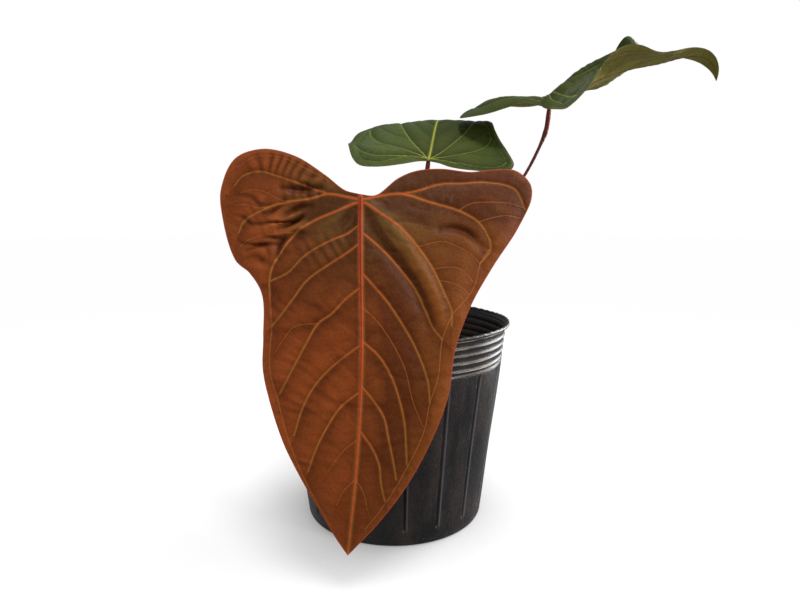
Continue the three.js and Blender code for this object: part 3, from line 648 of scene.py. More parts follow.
def blade_fields(flat, veins, style, margin):
    """The relief of a blade and the marks that its colours follow, at every flat point."""
    scale = style["vein_scale"]
    fields = {
        "midrib": np.full(len(flat), FAR_OFF), "vein": np.full(len(flat), FAR_OFF),
        "veinlet": np.full(len(flat), FAR_OFF), "fade": np.zeros(len(flat)),
    }
    open_share = np.ones(len(flat))
    ridge = np.zeros(len(flat))
    rib = np.zeros(len(flat))
    pleats = np.zeros(len(flat))
    nearest = np.full(len(flat), FAR_OFF)
    for number, (kind, points) in enumerate(veins):
        wide, slim, crease, stand = VEIN_KINDS[kind]
        gap, along, side, length = near_path(flat, smooth_path(points, 2.0))
        share = along / length
        width = (wide + (slim - wide) * share) * scale
        edge = gap - width / 2
        mark = {"midrib": "midrib", "branch": "veinlet", "collective": "veinlet"}.get(kind, "vein")
        fields[mark] = np.minimum(fields[mark], edge)
        closer = (edge < nearest) & (kind != "midrib")
        fields["fade"][closer] = share[closer]
        nearest[closer] = edge[closer]
        ridge = np.maximum(ridge, 0.34 * width * np.exp(-(gap / (0.6 * width)) ** 2))
        mound = np.exp(-(gap / (0.55 * width)) ** 2)
        rib = np.maximum(rib, stand * scale * (1 - 0.5 * share) * mound)
        base_side = side * np.sign(flat[:, 0]) < 0
        reach = np.where(base_side, style["steep"], style["gentle"]) * scale
        if kind == "midrib":
            reach = np.full(len(flat), 5.0 * scale)
        open_share *= 1 - crease * np.exp(-gap / reach)
        if kind in ("basal", "lateral"):
            sway = waves(np.stack([along, np.full(len(flat), 7.0 * number)], axis=1), 9, 5)
            comb = np.sin(2 * math.pi * along / style["pleat_pitch"] + 1.6 * sway)
            body = np.exp(-gap / np.where(base_side, 8.0, 3.5)) * (1 - np.exp(-gap / 1.4))
            pleats += comb * body * np.clip(share * 5, 0, 1)
    # Painted shade: the crease mark darkens the colour where the blade is drawn in beside the
    # veins.
    fields["crease"] = 1 - open_share
    height = style["puff"] * open_share + ridge
    height += style["pleat"] * pleats * (0.5 + 0.5 * waves(flat, 16, 3))
    for depth, pitch, half, points in style["combs"]:
        gap, along, _, length = near_path(flat, smooth_path(points, 2.0))
        ends = np.sin(math.pi * np.clip(along / length, 0.04, 0.96)) ** 0.5
        turns = along / pitch + 0.3 * waves(flat, 14, 9)
        comb = (0.5 + 0.5 * np.sin(2 * math.pi * turns)) ** 0.6
        body = depth * np.exp(-(gap / half) ** 4) * ends
        height -= (1 - comb) * body
        # Painted shade in each furrow and painted highlight on the tops between them.
        fields["crease"] += (0.45 * (1 - comb) - 0.24 * comb) * body
    for depth, shade, half, points in style["folds"]:
        gap, along, _, length = near_path(flat, smooth_path(points, 2.0))
        ends = np.sin(math.pi * np.clip(along / length, 0.06, 0.94)) ** 0.5
        fold = np.exp(-(gap / half) ** 2) * ends
        height -= depth * fold
        # Painted shade along each fold; a shade below nought is a painted highlight.
        fields["crease"] += shade * fold
    for depth, size, reach, middle in style["crumples"]:
        gap = np.hypot(flat[:, 0] - middle[0], flat[:, 1] - middle[1])
        line = np.clip(1 - 2.2 * np.abs(waves(flat * (0.55, 1.0), size, 41 + int(reach))), 0, 1)
        body = depth * np.exp(-(gap / reach) ** 4)
        height -= line ** 1.5 * body
        # Painted shade in the crumple lines and painted highlight between them.
        fields["crease"] += (0.34 * line ** 1.5 - 0.2 * (1 - line) ** 6) * body
    height += 0.35 * waves(flat, 26, 11) + 0.08 * waves(flat, 4.5, 12)
    edge_share = np.exp(-margin / 7)
    height += edge_share * style["ripple"] * waves(flat, 13, 17) - style["puff"] * 0.4 * edge_share
    fields["margin"] = margin
    return height, rib, fields


def make_blade(name, leaf, veins, style, materials):
    """A closed two-faced sheet: veins raised underneath, the panels between them quilted."""
    scale = style["vein_scale"]
    outline = blade_margin(leaf, style["notch"], style["spacing"])
    rows = []
    for kind, points in veins:
        path = smooth_path(points, 0.8)
        tangent = np.gradient(path, axis=0)
        tangent /= np.linalg.norm(tangent, axis=1)[:, None]
        across = np.stack([-tangent[:, 1], tangent[:, 0]], axis=1)
        half = VEIN_KINDS[kind][0] * scale / 2
        taper = np.linspace(1, VEIN_KINDS[kind][1] / VEIN_KINDS[kind][0], len(path))[:, None]
        for offset in (0, -half, half, -half - 0.5, half + 0.5):
            rows.append(path + across * offset * taper)
    low, high = outline.min(0), outline.max(0)
    spacing = style["spacing"]
    grid = []
    for i, v in enumerate(np.arange(low[1], high[1], spacing * ROW_SHARE)):
        u = np.arange(low[0], high[0], spacing) + (i % 2) * spacing / 2
        grid.append(np.stack([u, np.full(len(u), v)], axis=1))
    points = np.vstack(rows + grid)
    gap, _, _, _ = near_path(points, np.vstack([outline, outline[:1]]), 2.0)
    points = points[gap > spacing * 0.45]
    _, keep = np.unique(np.round(points / (spacing * 0.5)).astype(int), axis=0, return_index=True)
    points = points[np.sort(keep)]
    corners = [tuple(point) for point in np.vstack([outline, points])]
    count = len(outline)
    flat, _, faces, origins, _, _ = delaunay_2d_cdt(corners, [], [list(range(count))], 1, 1e-5)
    used = sorted({i for face in faces for i in face})
    place = {old: new for new, old in enumerate(used)}
    flat = np.array([tuple(flat[i]) for i in used])
    faces = [tuple(place[i] for i in face) for face in faces]
    order = {k: place[i] for i, source in enumerate(origins) if i in place
             for k in source if k < count}
    ring = [order[k] for k in range(count)]
    margin, _, _, _ = near_path(flat, np.vstack([outline, outline[:1]]))
    height, rib, fields = blade_fields(flat, veins, style, margin)
    thick = style["thickness"] * (0.55 + 0.45 * (1 - np.exp(-margin / 1.2)))
    bent = BentBlade(leaf)
    edge_share = 1 - np.exp(-margin / 1.5)
    upper = bent.place(flat, height * np.maximum(edge_share, 0.3) + thick / 2)
    lower = bent.place(flat, height * np.maximum(edge_share, 0.3) - thick / 2 - rib * edge_share)
    size = len(flat)
    top = faces
    bottom = [tuple(size + i for i in reversed(face)) for face in faces]
    wall = []
    for a, b in zip(ring, ring[1:] + ring[:1]):
        wall.append((a, a + size, b + size, b))
    slots = [0] * len(top) + [1] * len(bottom) + [0] * len(wall)
    marks = {mark: np.concatenate([values, values]) for mark, values in fields.items()}
    uv = np.vstack([flat, flat]) / 100
    return make_object(name, np.vstack([upper, lower]), top + bottom + wall, materials, uv, marks,
                       slots, sharp=55)


# ---- leaf finishes ----------------------------------------------------------------------

def leaf_upper(name, look):
    """Living leaf, grown: a satin skin whose colour runs from olive by the joint to the full
    blade colour, with glossy coloured veins, paler seams beside them and a fine net between."""
    material, tree = new_material(name)
    marks = {mark: add(tree, "Attribute", attribute_name=mark).outputs["Fac"]
             for mark in ("midrib", "vein", "veinlet", "fade", "crease", "margin")}
    flat = add(tree, "UVMap", uv_map="flat")

    patches = add(tree, "TexNoise", {
        "Vector": flat, "Scale": 3.2, "Detail": 4.0, "Roughness": 0.6, "Distortion": 0.4})
    patch = add(tree, "ValToRGB", {"Fac": patches}, stops=[(0.36, 0), (0.64, 1)])
    blade = add(tree, "Mix", {"Factor": patch, "A": look.blade, "B": look.blade_warm},
                data_type="RGBA")
    split = add(tree, "SeparateXYZ", {0: flat})
    golden = add(tree, "MapRange", {
        "Value": split.outputs["X"], "From Min": 0.05, "From Max": -0.25, "To Max": 0.9})
    blade = add(tree, "Mix", {"Factor": golden, "A": blade, "B": look.blade_far}, data_type="RGBA")

    near_joint = add(tree, "VectorMath", {0: flat}, operation="LENGTH")
    wander = add(tree, "Math", {0: patches, 1: 0.35, 2: -0.17}, operation="MULTIPLY_ADD")
    reach = add(tree, "Math", {0: near_joint, 1: wander}, operation="ADD")
    olive = add(tree, "MapRange", {
        "Value": reach, "From Min": 0.05, "From Max": 0.68, "To Min": 0.9,
        "To Max": 0.0}, interpolation_type="SMOOTHSTEP")
    blade = add(tree, "Mix", {"Factor": olive, "A": blade, "B": look.olive}, data_type="RGBA")

    band = add(tree, "MapRange", {
        "Value": marks["margin"], "From Min": 3.0, "From Max": 11.0, "To Min": 0.45,
        "To Max": 0.0}, interpolation_type="SMOOTHSTEP")
    uneven = add(tree, "Math", {0: band, 1: patch}, operation="MULTIPLY")
    blade = add(tree, "Mix", {"Factor": uneven, "A": blade, "B": look.band}, data_type="RGBA")

    # Painted shade and highlight: down in the folds the blade is painted darker, and along the
    # tops of the ridges it is painted paler.
    for start, end, strength, tint in ((0.25, 1.0, 0.8, look.fold_shade_and_mottle), (0.05, -0.5, 0.6, look.crest)):
        shade = add(tree, "MapRange", {
            "Value": marks["crease"], "From Min": start, "From Max": end, "To Max": strength})
        blade = add(tree, "Mix", {"Factor": shade, "A": blade, "B": tint}, data_type="RGBA")

    # The fine net between the veins has cells about 5 mm across, with smaller ones of 1.5 mm.
    bend = add(tree, "TexNoise", {"Vector": flat, "Scale": 14.0, "Detail": 2.0})
    warped = add(tree, "Mix", {"Factor": 0.05, "A": flat, "B": bend.outputs["Color"]},
                 data_type="VECTOR")
    net = add(tree, "TexVoronoi", {"Vector": warped, "Scale": 20.0}, feature="DISTANCE_TO_EDGE")
    fine = add(tree, "TexVoronoi", {"Vector": warped, "Scale": 66.0}, feature="DISTANCE_TO_EDGE")
    mottle = add(tree, "TexNoise", {
        "Vector": flat, "Scale": 55.0, "Detail": 5.0, "Roughness": 0.7})
    lines = {}
    for key, value, low, high, strength in (
        ("thread", net.outputs["Distance"], 0.0, 0.07, 0.09),
        ("mottle", mottle, 0.32, 0.6, 0.22),
        ("seam", marks["vein"], 0.0, 1.1, 0.5),
        ("midrib_seam", marks["midrib"], 0.0, 1.7, 0.6),
        ("veinlet", marks["veinlet"], -0.1, 0.28, 0.45),
        ("vein", marks["vein"], -0.15, 0.25, 0.92),
        ("core", marks["midrib"], -0.85, -0.25, 1.0),
        ("midrib", marks["midrib"], -0.1, 0.25, 1.0),
        ("margin", marks["margin"], 0.25, 0.7, 0.8),
        ("faded", marks["fade"], 0.35, 1.0, 1.0),
    ):
        lines[key] = add(tree, "MapRange", {
            "Value": value, "From Min": low, "From Max": high, "To Min": strength,
            "To Max": 0.0}, interpolation_type="SMOOTHSTEP")
    seams = add(tree, "Math", {0: lines["seam"], 1: lines["midrib_seam"]}, operation="MAXIMUM")
    held = add(tree, "Math", {0: lines["faded"], 1: 0.35, 2: 0.65}, operation="MULTIPLY_ADD")
    veined = add(tree, "Math", {0: lines["vein"], 1: held}, operation="MULTIPLY")
    vein = add(tree, "Mix", {"Factor": marks["fade"], "A": look.vein, "B": look.vein_end},
               data_type="RGBA")
    core = add(tree, "Mix", {"Factor": lines["core"], "A": look.vein, "B": look.midrib},
               data_type="RGBA")
    for share, tint in (
        (lines["mottle"], look.fold_shade_and_mottle), (lines["thread"], look.seam), (seams, look.seam),
        (lines["veinlet"], look.vein_end), (veined, vein), (lines["midrib"], core),
        (lines["margin"], look.margin),
    ):
        blade = add(tree, "Mix", {"Factor": share, "A": blade, "B": tint}, data_type="RGBA")

    gloss = add(tree, "MapRange", {"Value": patches, "To Min": 0.36, "To Max": 0.52})
    weave = add(tree, "Math", {0: net.outputs["Distance"], 1: 0.7, 2: mottle},
                operation="MULTIPLY_ADD")
    cells = add(tree, "Math", {0: fine.outputs["Distance"], 1: 0.5, 2: weave},
                operation="MULTIPLY_ADD")
    close_material(tree, cells, 0.25, {
        "Base Color": blade, "Roughness": gloss, "IOR": 1.45, "Specular IOR Level": 0.14})
    return material


def leaf_under(name, look):
    """The dull underside of a leaf, grown: matt, paler than the top, with ribs of vein colour."""
    material, tree = new_material(name)
    marks = {mark: add(tree, "Attribute", attribute_name=mark).outputs["Fac"]
             for mark in ("midrib", "vein", "veinlet", "margin")}
    flat = add(tree, "UVMap", uv_map="flat")
    patches = add(tree, "TexNoise", {"Vector": flat, "Scale": 4.0, "Detail": 4.0})
    patch = add(tree, "ValToRGB", {"Fac": patches}, stops=[(0.35, 0), (0.65, 1)])
    blade = add(tree, "Mix", {"Factor": patch, "A": look.under, "B": look.under_warm},
                data_type="RGBA")
    net = add(tree, "TexVoronoi", {"Vector": flat, "Scale": 22.0}, feature="DISTANCE_TO_EDGE")
    thread = add(tree, "MapRange", {
        "Value": net.outputs["Distance"], "From Max": 0.1, "To Min": 0.35, "To Max": 0.0})
    blade = add(tree, "Mix", {"Factor": thread, "A": blade, "B": look.under_vein},
                data_type="RGBA")
    for mark, high, strength in (("veinlet", 0.3, 0.7), ("vein", 0.3, 0.9), ("midrib", 0.3, 1.0),
                                 ("margin", 0.6, 0.6)):
        line = add(tree, "MapRange", {
            "Value": marks[mark], "From Max": high, "To Min": strength, "To Max": 0.0})
        blade = add(tree, "Mix", {"Factor": line, "A": blade, "B": look.under_vein},
                    data_type="RGBA")
    fine = add(tree, "TexNoise", {"Vector": flat, "Scale": 60.0, "Detail": 3.0})
    close_material(tree, fine, 0.3, {
        "Base Color": blade, "Roughness": 0.6, "IOR": 1.45, "Specular IOR Level": 0.35})
    return material


# ---- petioles, stem and roots -----------------------------------------------------------

def node_group(name, inputs, output):
    """An empty Geometry Nodes tree with its named inputs and its one output."""
    tree = bpy.data.node_groups.new(name, "GeometryNodeTree")
    for label, kind in inputs:
        tree.interface.new_socket(label, in_out="INPUT", socket_type="NodeSocket" + kind)
    tree.interface.new_socket(output, in_out="OUTPUT", socket_type="NodeSocketGeometry")
    return tree


def grown(source, name, tree, values):
    """The plain mesh that a Geometry Nodes tree makes of a source object, which is removed."""
    modifier = source.modifiers.new("grow", "NODES")
    modifier.node_group = tree
    for item in tree.interface.items_tree:
        if item.in_out == "INPUT" and item.name in values:
            modifier[item.identifier] = values[item.name]
    graph = bpy.context.evaluated_depsgraph_get()
    mesh = bpy.data.meshes.new_from_object(source.evaluated_get(graph),
                                           preserve_all_data_layers=True, depsgraph=graph)
    mesh.name = name
    bpy.data.objects.remove(source)
    piece = bpy.data.objects.new(name, mesh)
    bpy.context.scene.collection.objects.link(piece)
    return piece


def stalk_tree():
    """Nodes that grow a round stalk along a path, as thick as its girth mark, with soft lumps."""
    tree = node_group("stalk_along_path", (
        ("Path", "Geometry"), ("Sides", "Int"), ("Relief", "Float"), ("Lumps", "Float"),
        ("Seed", "Int"), ("Material", "Material")), "Stalk")
    given = add(tree, "NodeGroupInput").outputs
    spine = add(tree, "GeometryNodeMeshToCurve", {"Mesh": given["Path"]})
    girth = add(tree, "GeometryNodeInputNamedAttribute", {"Name": "girth"}, data_type="FLOAT")
    ring = add(tree, "GeometryNodeCurvePrimitiveCircle", {
        "Resolution": given["Sides"], "Radius": 1.0})
    stalk = add(tree, "GeometryNodeCurveToMesh", {
        "Curve": spine, "Profile Curve": ring, "Scale": girth, "Fill Caps": True})
    place = add(tree, "GeometryNodeInputPosition")
    often = add(tree, "Math", {0: 1.0, 1: given["Lumps"]}, operation="DIVIDE")
    lumps = add(tree, "TexNoise", {
        "Vector": place, "W": given["Seed"], "Scale": often, "Detail": 1.0}, noise_dimensions="4D")
    level = add(tree, "Math", {0: lumps, 1: 0.5}, operation="SUBTRACT")
    rise = add(tree, "Math", {0: level, 1: given["Relief"]}, operation="MULTIPLY")
    outward = add(tree, "GeometryNodeInputNormal")
    shift = add(tree, "VectorMath", {0: outward, "Scale": rise}, operation="SCALE")
    lumpy = add(tree, "GeometryNodeSetPosition", {"Geometry": stalk, "Offset": shift})
    soft = add(tree, "GeometryNodeSetShadeSmooth", {0: lumpy})
    real = add(tree, "GeometryNodeRealizeInstances", {"Geometry": soft})
    dressed = add(tree, "GeometryNodeSetMaterial", {
        "Geometry": real, "Material": given["Material"]})
    add(tree, "NodeGroupOutput", {0: dressed})
    return tree


def petiole_skin(look):
    """Living leaf stalk, grown: waxy and dark red, streaked lengthways and dotted with pale
    pores, warmer where it swells under the blade."""
    material, tree = new_material("living_petiole_waxy")
    swelling = add(tree, "Attribute", attribute_name="swelling").outputs["Fac"]
    place = add(tree, "TexCoord").outputs["Object"]
    stretch = add(tree, "Mapping", {"Vector": place, "Scale": (900, 900, 90)})
    streaks = add(tree, "TexNoise", {"Vector": stretch, "Scale": 1.0, "Detail": 3.0})
    streak = add(tree, "ValToRGB", {"Fac": streaks}, stops=[(0.38, 0), (0.62, 1)])
    skin = add(tree, "Mix", {"Factor": streak, "A": look.shaft, "B": look.streak},
               data_type="RGBA")
    skin = add(tree, "Mix", {"Factor": swelling, "A": skin, "B": look.swelling}, data_type="RGBA")
    pores = add(tree, "TexVoronoi", {"Vector": place, "Scale": 420.0})
    pore = add(tree, "MapRange", {
        "Value": pores.outputs["Distance"], "From Min": 0.1, "From Max": 0.2, "To Min": 0.45,
        "To Max": 0.0})
    skin = add(tree, "Mix", {"Factor": pore, "A": skin, "B": look.pore}, data_type="RGBA")
    rings = add(tree, "TexNoise", {"Vector": place, "Scale": 600.0, "Detail": 2.0})
    height = add(tree, "Math", {0: streaks, 1: rings}, operation="ADD")
    close_material(tree, height, 0.25, {
        "Base Color": skin, "Roughness": 0.38, "IOR": 1.45, "Specular IOR Level": 0.5})
    return material


def make_petiole(name, leaf, look, tree, material):
    """A stalk thick at its foot, slim along its shaft, and swollen and kneed under the blade."""
    path = smooth_path(leaf["petiole"], 0.9)
    length = float(np.sum(np.linalg.norm(np.diff(path, axis=0), axis=1)))
    knee = 1 - leaf["swelling"] / length
    shaft, swollen = look.shaft_radius / MM, look.swelling_radius / MM
    base = keyed([
        (0, look.foot_radius / MM), (0.12, shaft * 1.25), (0.3, shaft), (knee - 0.04, shaft),
        (knee + 0.03, swollen), (0.97, swollen), (1, 0.85 * swollen),
    ])
    share = np.linspace(0, 1, len(path))
    wrinkles = np.where(share > knee, 0.06 * np.sin(share * length * 3.1), 0)
    girth = base(share) + 0.22 * np.exp(-((share - knee - 0.02) * length / 1.6) ** 2) + wrinkles
    swelling = np.clip((share - knee) / 0.05, 0, 1)
    line = make_object(name + "_path", path, [], [], marks={"swelling": swelling,
                                                            "girth": girth * MM}, chain=True)
    return grown(line, name, tree, {"Sides": 20, "Relief": look.relief, "Lumps": 4 * MM,
                                    "Seed": len(path), "Material": material})


def stem_skin(look):
    """Short corky stem, grown: dull, ringed with leaf scars, green-brown under grey cork."""
    material, tree = new_material("corky_stem_grown")
    place = add(tree, "TexCoord").outputs["Object"]
    scars = add(tree, "Attribute", attribute_name="ring").outputs["Fac"]
    cork = add(tree, "TexNoise", {
        "Vector": place, "Scale": 160.0, "Detail": 6.0, "Roughness": 0.65})
    mask = add(tree, "ValToRGB", {"Fac": cork}, stops=[(0.4, 0), (0.6, 1)])
    skin = add(tree, "Mix", {"Factor": mask, "A": look.green, "B": look.cork}, data_type="RGBA")
    skin = add(tree, "Mix", {"Factor": scars, "A": skin, "B": look.scar}, data_type="RGBA")
    cracks = add(tree, "TexVoronoi", {"Vector": place, "Scale": 420.0}, feature="DISTANCE_TO_EDGE")
    height = add(tree, "Math", {0: cork, 1: cracks.outputs["Distance"]}, operation="ADD")
    close_material(tree, height, 0.8, {"Base Color": skin, "Roughness": 0.78})
    return material


def make_stem(look, material):
    """The stem: knobbly, with a scar ring every few millimetres."""
    path = smooth_path(STEM["path"], 0.6)
    base = keyed(STEM["radii"])
    pitch = look.ring_pitch / MM

    def scars(run, angles):
        """The leaf scars: tilted rings, one to each pitch."""
        tilt = run + 0.9 * np.sin(angles + run * 0.4)
        return np.maximum(np.cos(2 * math.pi * tilt / pitch), 0) ** 4

    def relief(run, angles):
        """How far the surface stands out: lumps and buds, sunk at the scars."""
        lumps = 0.35 * np.sin(3 * angles + run * 0.3) + 0.2 * np.sin(7 * angles - run * 0.9)
        buds = 0.9 * np.maximum(np.sin(4 * angles + run * 1.3) * np.sin(run * 0.55), 0) ** 6
        return lumps - 0.7 * scars(run, angles) + buds

    vertices, faces, uv = tube(path, lambda share: float(base(share)), 72, relief)
    marks = {"ring": scars(uv[:, 0] * 100, uv[:, 1] * 2 * math.pi)}
    return make_object("stem_corky", vertices, faces, [material], uv, marks)


def root_skin(look):
    """Aerial root, grown: a felted pale skin with brown blotches and a fine fuzzy grain."""
    material, tree = new_material("aerial_root_felted")
    place = add(tree, "TexCoord").outputs["Object"]
    blotch = add(tree, "TexNoise", {"Vector": place, "Scale": 110.0, "Detail": 5.0})
    mask = add(tree, "ValToRGB", {"Fac": blotch}, stops=[(0.42, 0), (0.62, 1)])
    skin = add(tree, "Mix", {"Factor": mask, "A": look.felt, "B": look.blotch}, data_type="RGBA")
    fuzz = add(tree, "TexNoise", {"Vector": place, "Scale": 1500.0, "Detail": 3.0})
    close_material(tree, fuzz, 0.6, {
        "Base Color": skin, "Roughness": 0.85, "Sheen Weight": 0.3, "Sheen Roughness": 0.5})
    return material


def make_root(name, root, look, tree, material):
    """A root that leaves the stem, arches over the mix and goes down into it."""
    angle = math.radians(root["angle"])

    def at(distance, z):
        """A point of the root, from its distance to the pot's axis and its height."""
        return distance * math.cos(angle), distance * math.sin(angle), z

    reach, start, crest = root["reach"], root["start"], root["crest"]
    path = smooth_path([
        at(6, start), at(reach * 0.4, start + crest * 0.35), at(reach * 0.75, start - crest * 0.6),
        at(reach, MIX_TOP - 2), at(reach + 3, ROOT_END),
    ], 0.7)
    girth = root["radius"] * (1 - 0.3 * np.linspace(0, 1, len(path)))
    line = make_object(name + "_path", path, [], [], marks={"girth": girth * MM}, chain=True)
    return grown(line, name, tree, {"Sides": 22, "Relief": look.root_relief, "Lumps": 6 * MM,
                                    "Seed": root["angle"], "Material": material})


# ---- bracts -----------------------------------------------------------------------------

def bract_paper(name, tint, look):
    """Dried sheath, grown then withered: papery, tan, ribbed lengthways with darker fibres."""
    material, tree = new_material(name)
    flat = add(tree, "UVMap", uv_map="flat")
    vein = add(tree, "Attribute", attribute_name="veinlet").outputs["Fac"]
    margin = add(tree, "Attribute", attribute_name="margin").outputs["Fac"]
    stretch = add(tree, "Mapping", {"Vector": flat, "Scale": (220, 14, 1)})
    fibres = add(tree, "TexNoise", {"Vector": stretch, "Scale": 1.0, "Detail": 4.0})
    mask = add(tree, "ValToRGB", {"Fac": fibres}, stops=[(0.4, 0), (0.65, 1)])
    skin = add(tree, "Mix", {"Factor": mask, "A": tint, "B": look.fibre}, data_type="RGBA")
    rib = add(tree, "MapRange", {"Value": vein, "From Max": 0.3, "To Min": 0.7, "To Max": 0.0})
    skin = add(tree, "Mix", {"Factor": rib, "A": skin, "B": look.fibre}, data_type="RGBA")
    edge = add(tree, "MapRange", {
        "Value": margin, "From Min": 0.2, "From Max": 1.4, "To Min": 0.8, "To Max": 0.0})
    skin = add(tree, "Mix", {"Factor": edge, "A": skin, "B": look.edge}, data_type="RGBA")
    close_material(tree, fibres, 0.5, {"Base Color": skin, "Roughness": 0.7})
    return material


def make_bract(name, bract, look, materials):
    """A sheath rolled half round the stem, with lengthwise ribs."""
    length, half_width = bract["length"], bract["half_width"]
    half = {
        "lift": [(0, 14), (length, 4)],
        "curl": [(0, 420), (length, 160)],
        "outline": [(u * half_width / length, v) for u, v in
                    ((0.5, 0.02), (0.95, 0.12), (1, 0.35), (0.72, 0.66), (0.3, 0.9))],
    }
    sheath = {**bract, "yaw": [(0, 0)], "pitch": [(0, 0), (length, -14)], "roll": [(0, 180)],
              "near": half, "far": half}
    veins = []
    for share in (-0.75, -0.5, -0.25, 0, 0.25, 0.5, 0.75):
        wide = share * half_width
        veins.append(("branch", [(wide * 0.5, 1.5), (wide * 0.9, length * 0.3),
                                 (wide * 0.6, length * 0.66), (wide * 0.1, length * 0.93)]))
    style = {"vein_scale": 0.6, "notch": 0.5, "spacing": 0.55, "thickness": look.thickness / MM,
             "puff": 0.25, "pleat": 0.0, "pleat_pitch": 5.0, "steep": 2.0, "gentle": 2.0,
             "ripple": 0.3, "folds": [], "combs": [], "crumples": []}
    return make_blade(name, sheath, veins, style, materials)


# ---- potting mix ------------------------------------------------------------------------

def mix_height(x, y):
    """Height of the mix at a place in the pot: a low dome with soft swells."""
    swell = np.sin(x * 0.19 + 1) * np.cos(y * 0.23) + 0.6 * np.sin((x + y) * 0.41)
    return MIX_TOP + 1.32 * swell - 0.0006 * (x * x + y * y)


def bark_material(name, light, dark, grit):
    """Composted pine bark, milled: dull fibrous browns, each piece its own shade."""
    material, tree = new_material(name)
    place = add(tree, "TexCoord").outputs["Object"]
    tone = add(tree, "Attribute", attribute_name="tone").outputs["Fac"]
    layers = add(tree, "Mapping", {"Vector": place, "Scale": (180, 180, 900)})
    grain = add(tree, "TexNoise", {
        "Vector": layers, "Scale": 1.0, "Detail": 6.0, "Roughness": 0.65})
    blend = add(tree, "Math", {0: grain, 1: 0.8, 2: tone}, operation="MULTIPLY_ADD")
    mask = add(tree, "MapRange", {"Value": blend, "From Min": 0.3, "From Max": 1.3})
    skin = add(tree, "Mix", {"Factor": mask, "A": dark, "B": light}, data_type="RGBA")
    fine = add(tree, "TexNoise", {"Vector": place, "Scale": grit, "Detail": 4.0})
    height = add(tree, "Math", {0: grain, 1: fine}, operation="ADD")
    close_material(tree, height, 0.9, {"Base Color": skin, "Roughness": 0.88})
    return material


def make_mix(pot, look, material):
    """The bed of mix: a lumpy closed body that fills the pot to below its collar."""
    columns, top_rings, side_rings, base_rings = 220, 58, 16, 13
    angles = around(columns)[::-1]
    gap, low = look.clearance / MM, MIX_LOW.z / MM
    outer = pot_radius(pot, MIX_TOP) - gap - GROOVE_ROOM
    rows = []
    for share in np.linspace(0, 1, top_rings + 1)[1:]:
        row = ring(share * outer, angles, 0)
        lumps = 0.9 * waves(row[:, :2], 6, 21) + 0.5 * waves(row[:, :2], 3, 22)
        row[:, 2] = mix_height(row[:, 0], row[:, 1]) + lumps * min((1 - share) * 8, 1)
        rows.append(row)
    for height in np.linspace(MIX_TOP - 8, low + 7, side_rings):
        row = ring(pot_radius(pot, height) - gap - GROOVE_ROOM, angles, height)
        row[:, :2] *= (1 - 0.006 * (1 + waves(row, 7, 23)))[:, None]
        rows.append(row)
    for share in np.linspace(0.97, 0, base_rings + 1)[:-1]:
        row = ring(share * (pot_radius(pot, low) - 6 - gap), angles, low)
        row[:, 2] += 0.25 * (1 + waves(row, 5, 24))
        rows.append(row)
    count = len(rows) * columns
    vertices = np.vstack([*rows, [[0, 0, float(mix_height(0.0, 0.0))], [0, 0, low + 0.25]]])
    faces = ring_faces(len(rows), columns) + cap_faces(count, 0, columns, flip=True)
    faces += cap_faces(count + 1, count - columns, columns)
    tone = 0.25 + 0.1 * waves(vertices, 9, 25)
    return make_object("potting_mix_bed", vertices, faces, [material], marks={"tone": tone})


def crumb_tree():
    """Nodes that strew a surface with irregular crumbs of mixed size, shade and turn."""
    tree = node_group("strewn_crumbs", (
        ("Bed", "Geometry"), ("Density", "Float"), ("Smallest", "Float"), ("Largest", "Float"),
        ("Slimness", "Float"), ("Seed", "Int"), ("Material", "Material")), "Crumbs")
    given = add(tree, "NodeGroupInput").outputs
    shapes = add(tree, "GeometryNodeJoinGeometry")
    for variant in range(5):
        block = add(tree, "GeometryNodeMeshCube", {
            "Size": (1, 1, 1), "Vertices X": 3, "Vertices Y": 3, "Vertices Z": 3})
        place = add(tree, "GeometryNodeInputPosition")
        seeded = add(tree, "VectorMath", {0: place, 1: (7.3 * variant, 2.1, 5)}, operation="ADD")
        noise = add(tree, "TexNoise", {"Vector": seeded, "Scale": 1.7})
        shift = add(tree, "VectorMath", {0: noise.outputs["Color"], 1: (0.5, 0.5, 0.5)},
                    operation="SUBTRACT")
        rounder = add(tree, "VectorMath", {0: place}, operation="NORMALIZE")
        pull = add(tree, "Mix", {"Factor": 0.45, "A": place, "B": rounder}, data_type="VECTOR")
        swing = add(tree, "VectorMath", {0: shift, 1: (1.3, 1.3, 1.3), 2: pull},
                    operation="MULTIPLY_ADD")
        shaped = add(tree, "GeometryNodeSetPosition", {"Geometry": block, "Position": swing})
        single = add(tree, "GeometryNodeGeometryToInstance", {0: shaped})
        tree.links.new(single.outputs[0], shapes.inputs[0])
    spread = add(tree, "GeometryNodeDistributePointsOnFaces", {
        "Mesh": given["Bed"], "Density": given["Density"], "Seed": given["Seed"]})
    spin = add(tree, "FunctionNodeRandomValue", {
        0: (0, 0, 0), 1: (6.283, 6.283, 6.283), "Seed": given["Seed"]}, data_type="FLOAT_VECTOR")
    length = add(tree, "FunctionNodeRandomValue", {
        2: given["Smallest"], 3: given["Largest"], "Seed": given["Seed"]}, data_type="FLOAT")
    slim = add(tree, "Math", {0: length, 1: given["Slimness"]}, operation="MULTIPLY")
    flat = add(tree, "Math", {0: slim, 1: 0.75}, operation="MULTIPLY")
    size = add(tree, "CombineXYZ", {0: length, 1: slim, 2: flat})
    crumbs = add(tree, "GeometryNodeInstanceOnPoints", {
        "Points": spread, "Instance": shapes, "Pick Instance": True, "Rotation": spin,
        "Scale": size})
    shade = add(tree, "FunctionNodeRandomValue", {2: 0.0, 3: 1.0, "Seed": given["Seed"]},
                data_type="FLOAT")
    toned = add(tree, "GeometryNodeStoreNamedAttribute", {
        "Geometry": crumbs, "Name": "tone", "Value": shade}, data_type="FLOAT", domain="INSTANCE")
    real = add(tree, "GeometryNodeRealizeInstances", {"Geometry": toned})
    dressed = add(tree, "GeometryNodeSetMaterial", {
        "Geometry": real, "Material": given["Material"]})
    add(tree, "NodeGroupOutput", {0: dressed})
    return tree


